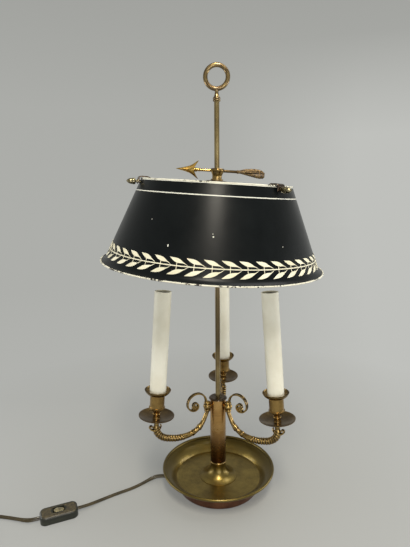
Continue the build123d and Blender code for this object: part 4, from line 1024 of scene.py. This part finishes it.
garland_pairs = 44
garland_start = -83.7
vine_station = -100.4
vine_radius = shade_top_radius - shade_slope * vine_station
pair_pitch = TURN * vine_radius / garland_pairs
upper_leaf = [
    ((-0.2, 0.3), (0.5, -0.2)), ((-3.3, 2.6), (-2.4, 1.5)), ((-6.4, 4.4), (-5.9, 3.2)), ((-7.8, 5.2), (-8.2, 3.5)),
    ((-9.6, 6.6), (-11, 3.5)), ((-11.9, 8.1), (-13.8, 3.6)), ((-14.5, 9.2), (-16.4, 4.1)),
    ((-17.4, 9.8), (-18.9, 5.1)), ((-20.4, 10), (-21.3, 6.6)), ((-23.2, 10.1), (-23.8, 8.4)),
    ((-25.7, 10.4), (-25.8, 10.2)),
]
lower_leaf = [
    ((0.5, 0.2), (-0.2, -0.3)), ((-2.4, -1.6), (-3.1, -2.8)), ((-5.4, -3.4), (-5.9, -4.7)),
    ((-7.6, -3.9), (-7.4, -5.6)), ((-10.4, -3.9), (-9.3, -7.2)), ((-13.3, -4.2), (-11.4, -8.6)),
    ((-15.8, -4.8), (-13.8, -9.8)), ((-18.4, -5.9), (-16.6, -10.7)), ((-20.8, -7.6), (-19.6, -11.2)),
    ((-23.2, -9.4), (-22.4, -11.4)), ((-25.6, -11.3), (-25.5, -11.5)),
]
paint_proud = 0.24
paint_thickness = 0.34
cone_angle = atan(shade_slope)


def painted_stroke(sides):
    """Flat painted stroke between the two sides of its outline, given in pairs of (along, rise)."""
    middle = [((one[0] + two[0]) / 2, (one[1] + two[1]) / 2) for one, two in sides]
    rows = [[two for one, two in sides], middle, [one for one, two in sides]]
    return shaped_grid("stroke", [[(along, rise, 0) for along, rise in row] for row in rows])


def garland():
    """One pair of leaves with its short strokes, repeated round the shade and laid on the cone."""
    vine = [(-pair_pitch * share / 8, 0) for share in range(9)]
    parts = [painted_stroke([((along, 0.62), (along, -0.62)) for along, _ in vine])]
    parts += [painted_stroke(upper_leaf), painted_stroke(lower_leaf)]
    for foot, tip, half in ((0.5, 3.9, 0.42), (-0.5, -4.4, 0.36)):
        steps = [foot + (tip - foot) * step / 3 for step in range(4)]
        parts.append(painted_stroke([((-15.4 + half, rise), (-15.4 - half, rise)) for rise in steps]))
    unit = joined("garland", parts)
    modifier = unit.modifiers.new("round", "ARRAY")
    modifier.use_relative_offset = False
    modifier.use_constant_offset = True
    modifier.constant_offset_displace = (pair_pitch * MM, 0, 0)
    modifier.count = garland_pairs
    apply_modifiers(unit)
    outward = Vector((cos(cone_angle), 0, sin(cone_angle)))
    upward = Vector((-sin(cone_angle), 0, cos(cone_angle)))
    for vertex in unit.data.vertices:
        along, rise = vertex.co.x / MM, vertex.co.y / MM
        point = Vector((vine_radius, 0, vine_station)) + upward * rise + outward * paint_proud
        vertex.co = Matrix.Rotation(radians(garland_start) + along / vine_radius, 3, "Z") @ (point * MM)
    edit_all(unit)
    bpy.ops.mesh.remove_doubles(threshold=1e-6)
    bpy.ops.object.mode_set(mode="OBJECT")
    solid = unit.modifiers.new("paint", "SOLIDIFY")
    solid.thickness = paint_thickness * MM
    solid.offset = -1.0
    apply_modifiers(unit)
    unit.data.transform(shade_frame)
    rounded(unit, 40)
    return unit


dress(garland(), leaf_cream, "shade_paint", "shade_assembly")


# Studio: a pale grey floor and surroundings, and soft lights

floor_width = 12.0
horizon_grey = "#adaeaa"
right_grey = "#bfc0bc"
white_light = (1, 1, 1)
warm_light = (1, 0.93, 0.80)
sky_colour, sky_strength = (0.95, 0.98, 1, 1), 0.55
lights_aim = Vector((0, 0, 0.3))
# Low soft lights at both sides and in front, a warm one over the camera, and a soft one from above
studio_lights = [
    ("left_light", (-1.25, 0, 0.22), (1, 0.34), 4.8, white_light),
    ("right_light", (1.25, 0.1, 0.22), (1, 0.34), 5.3, white_light),
    ("front_light", (0.10, -1.20, 1.95), (0.34, 0.8), 30.5, warm_light),
    ("low_front_light", (0.25, -1.30, 0.32), (0.9, 0.5), 5, white_light),
    ("top_light", (0.7, 0.2, 1.7), (0.9, 0.9), 7, white_light),
]


def studio_world():
    """Surroundings: camera, mirror and glass rays see the photograph's grey, which is brighter low on the right."""
    world = bpy.data.worlds.new("studio")
    bpy.context.scene.world = world
    world.use_nodes = True
    world.node_tree.nodes.clear()
    add = partial(add_node, world.node_tree)
    rays = add("LightPath").node.outputs
    seen = largest(add, [rays["Is Camera Ray"], rays["Is Glossy Ray"], rays["Is Transmission Ray"]])
    light = add("Background", [sky_colour, sky_strength])
    aim = add("SeparateXYZ", [add("TexCoord", out="Generated")]).node.outputs
    # Painted light: the grey darkens upwards and is brighter low on the right
    rise = add("MapRange", [aim["Z"], -0.05, 0.40])
    tone = add("ValToRGB", [rise], stops=[(0, horizon_grey), (0.5, "#abaca8"), (1, "#a0a19d")])
    right = add("Math", [add("MapRange", [aim["X"], 0, 0.28]),
                         add("MapRange", [aim["Z"], 0.12, 0.30, 1, 0])], "MULTIPLY")
    tone = add("Mix", {"Factor": right, "A": tone, "B": right_grey}, data_type="RGBA")
    wall = add("Background", [tone])
    add("OutputWorld", {"Surface": add("MixShader", [seen, light, wall])})


def studio_floor():
    """Grey paper: camera and mirror rays see the photograph's grey, and near the lamp its shadow as well."""
    deselect()
    bpy.ops.mesh.primitive_plane_add(size=floor_width)
    floor = bpy.context.object
    floor.name = "studio_floor"
    finish, add, shader, place = blank_material("paper_grey")
    fill(shader, {"Base Color": "#9c9c98", "Roughness": 0.9, "Specular IOR Level": 0.1})
    rays = add("LightPath").node.outputs
    seen = largest(add, [rays["Is Camera Ray"], rays["Is Glossy Ray"]])
    far = add("VectorMath", [place], "LENGTH")
    share = add("Math", [seen, add("MapRange", [far, 0.10, 0.70, 0.25, 1])], "MULTIPLY")
    own = add("SeparateXYZ", [place]).node.outputs
    # Painted light: the floor's glow is brighter towards the front and towards the right
    depth = add("MapRange", [own["Y"], -0.45, 0.3])
    tone = add("ValToRGB", [depth], stops=[(0, "#c5c6c2"), (1, "#b0b1ad")])
    away = add("MapRange", [far, 0.75, 1.8])
    tone = add("Mix", {"Factor": away, "A": tone, "B": horizon_grey}, data_type="RGBA")
    aside = add("Math", [own["X"], add("Math", [far, 0.9], "ADD")], "DIVIDE")
    right = add("MapRange", [aside, 0, 0.28])
    tone = add("Mix", {"Factor": right, "A": tone, "B": right_grey}, data_type="RGBA")
    glow = add("Emission", [tone])
    fill(finish.node_tree.nodes["Material Output"], {"Surface": add("MixShader", [share, shader.outputs[0], glow])})
    floor.data.materials.append(finish)


studio_world()
studio_floor()
for name, place, size, power, colour in studio_lights:
    data = bpy.data.lights.new(name, "AREA")
    data.shape = "RECTANGLE"
    data.size, data.size_y = size
    data.energy = power
    data.color = colour
    lamp = bpy.data.objects.new(name, data)
    lamp.location = place
    lamp.rotation_euler = (lights_aim - Vector(place)).to_track_quat("-Z", "Y").to_euler()
    bpy.context.collection.objects.link(lamp)
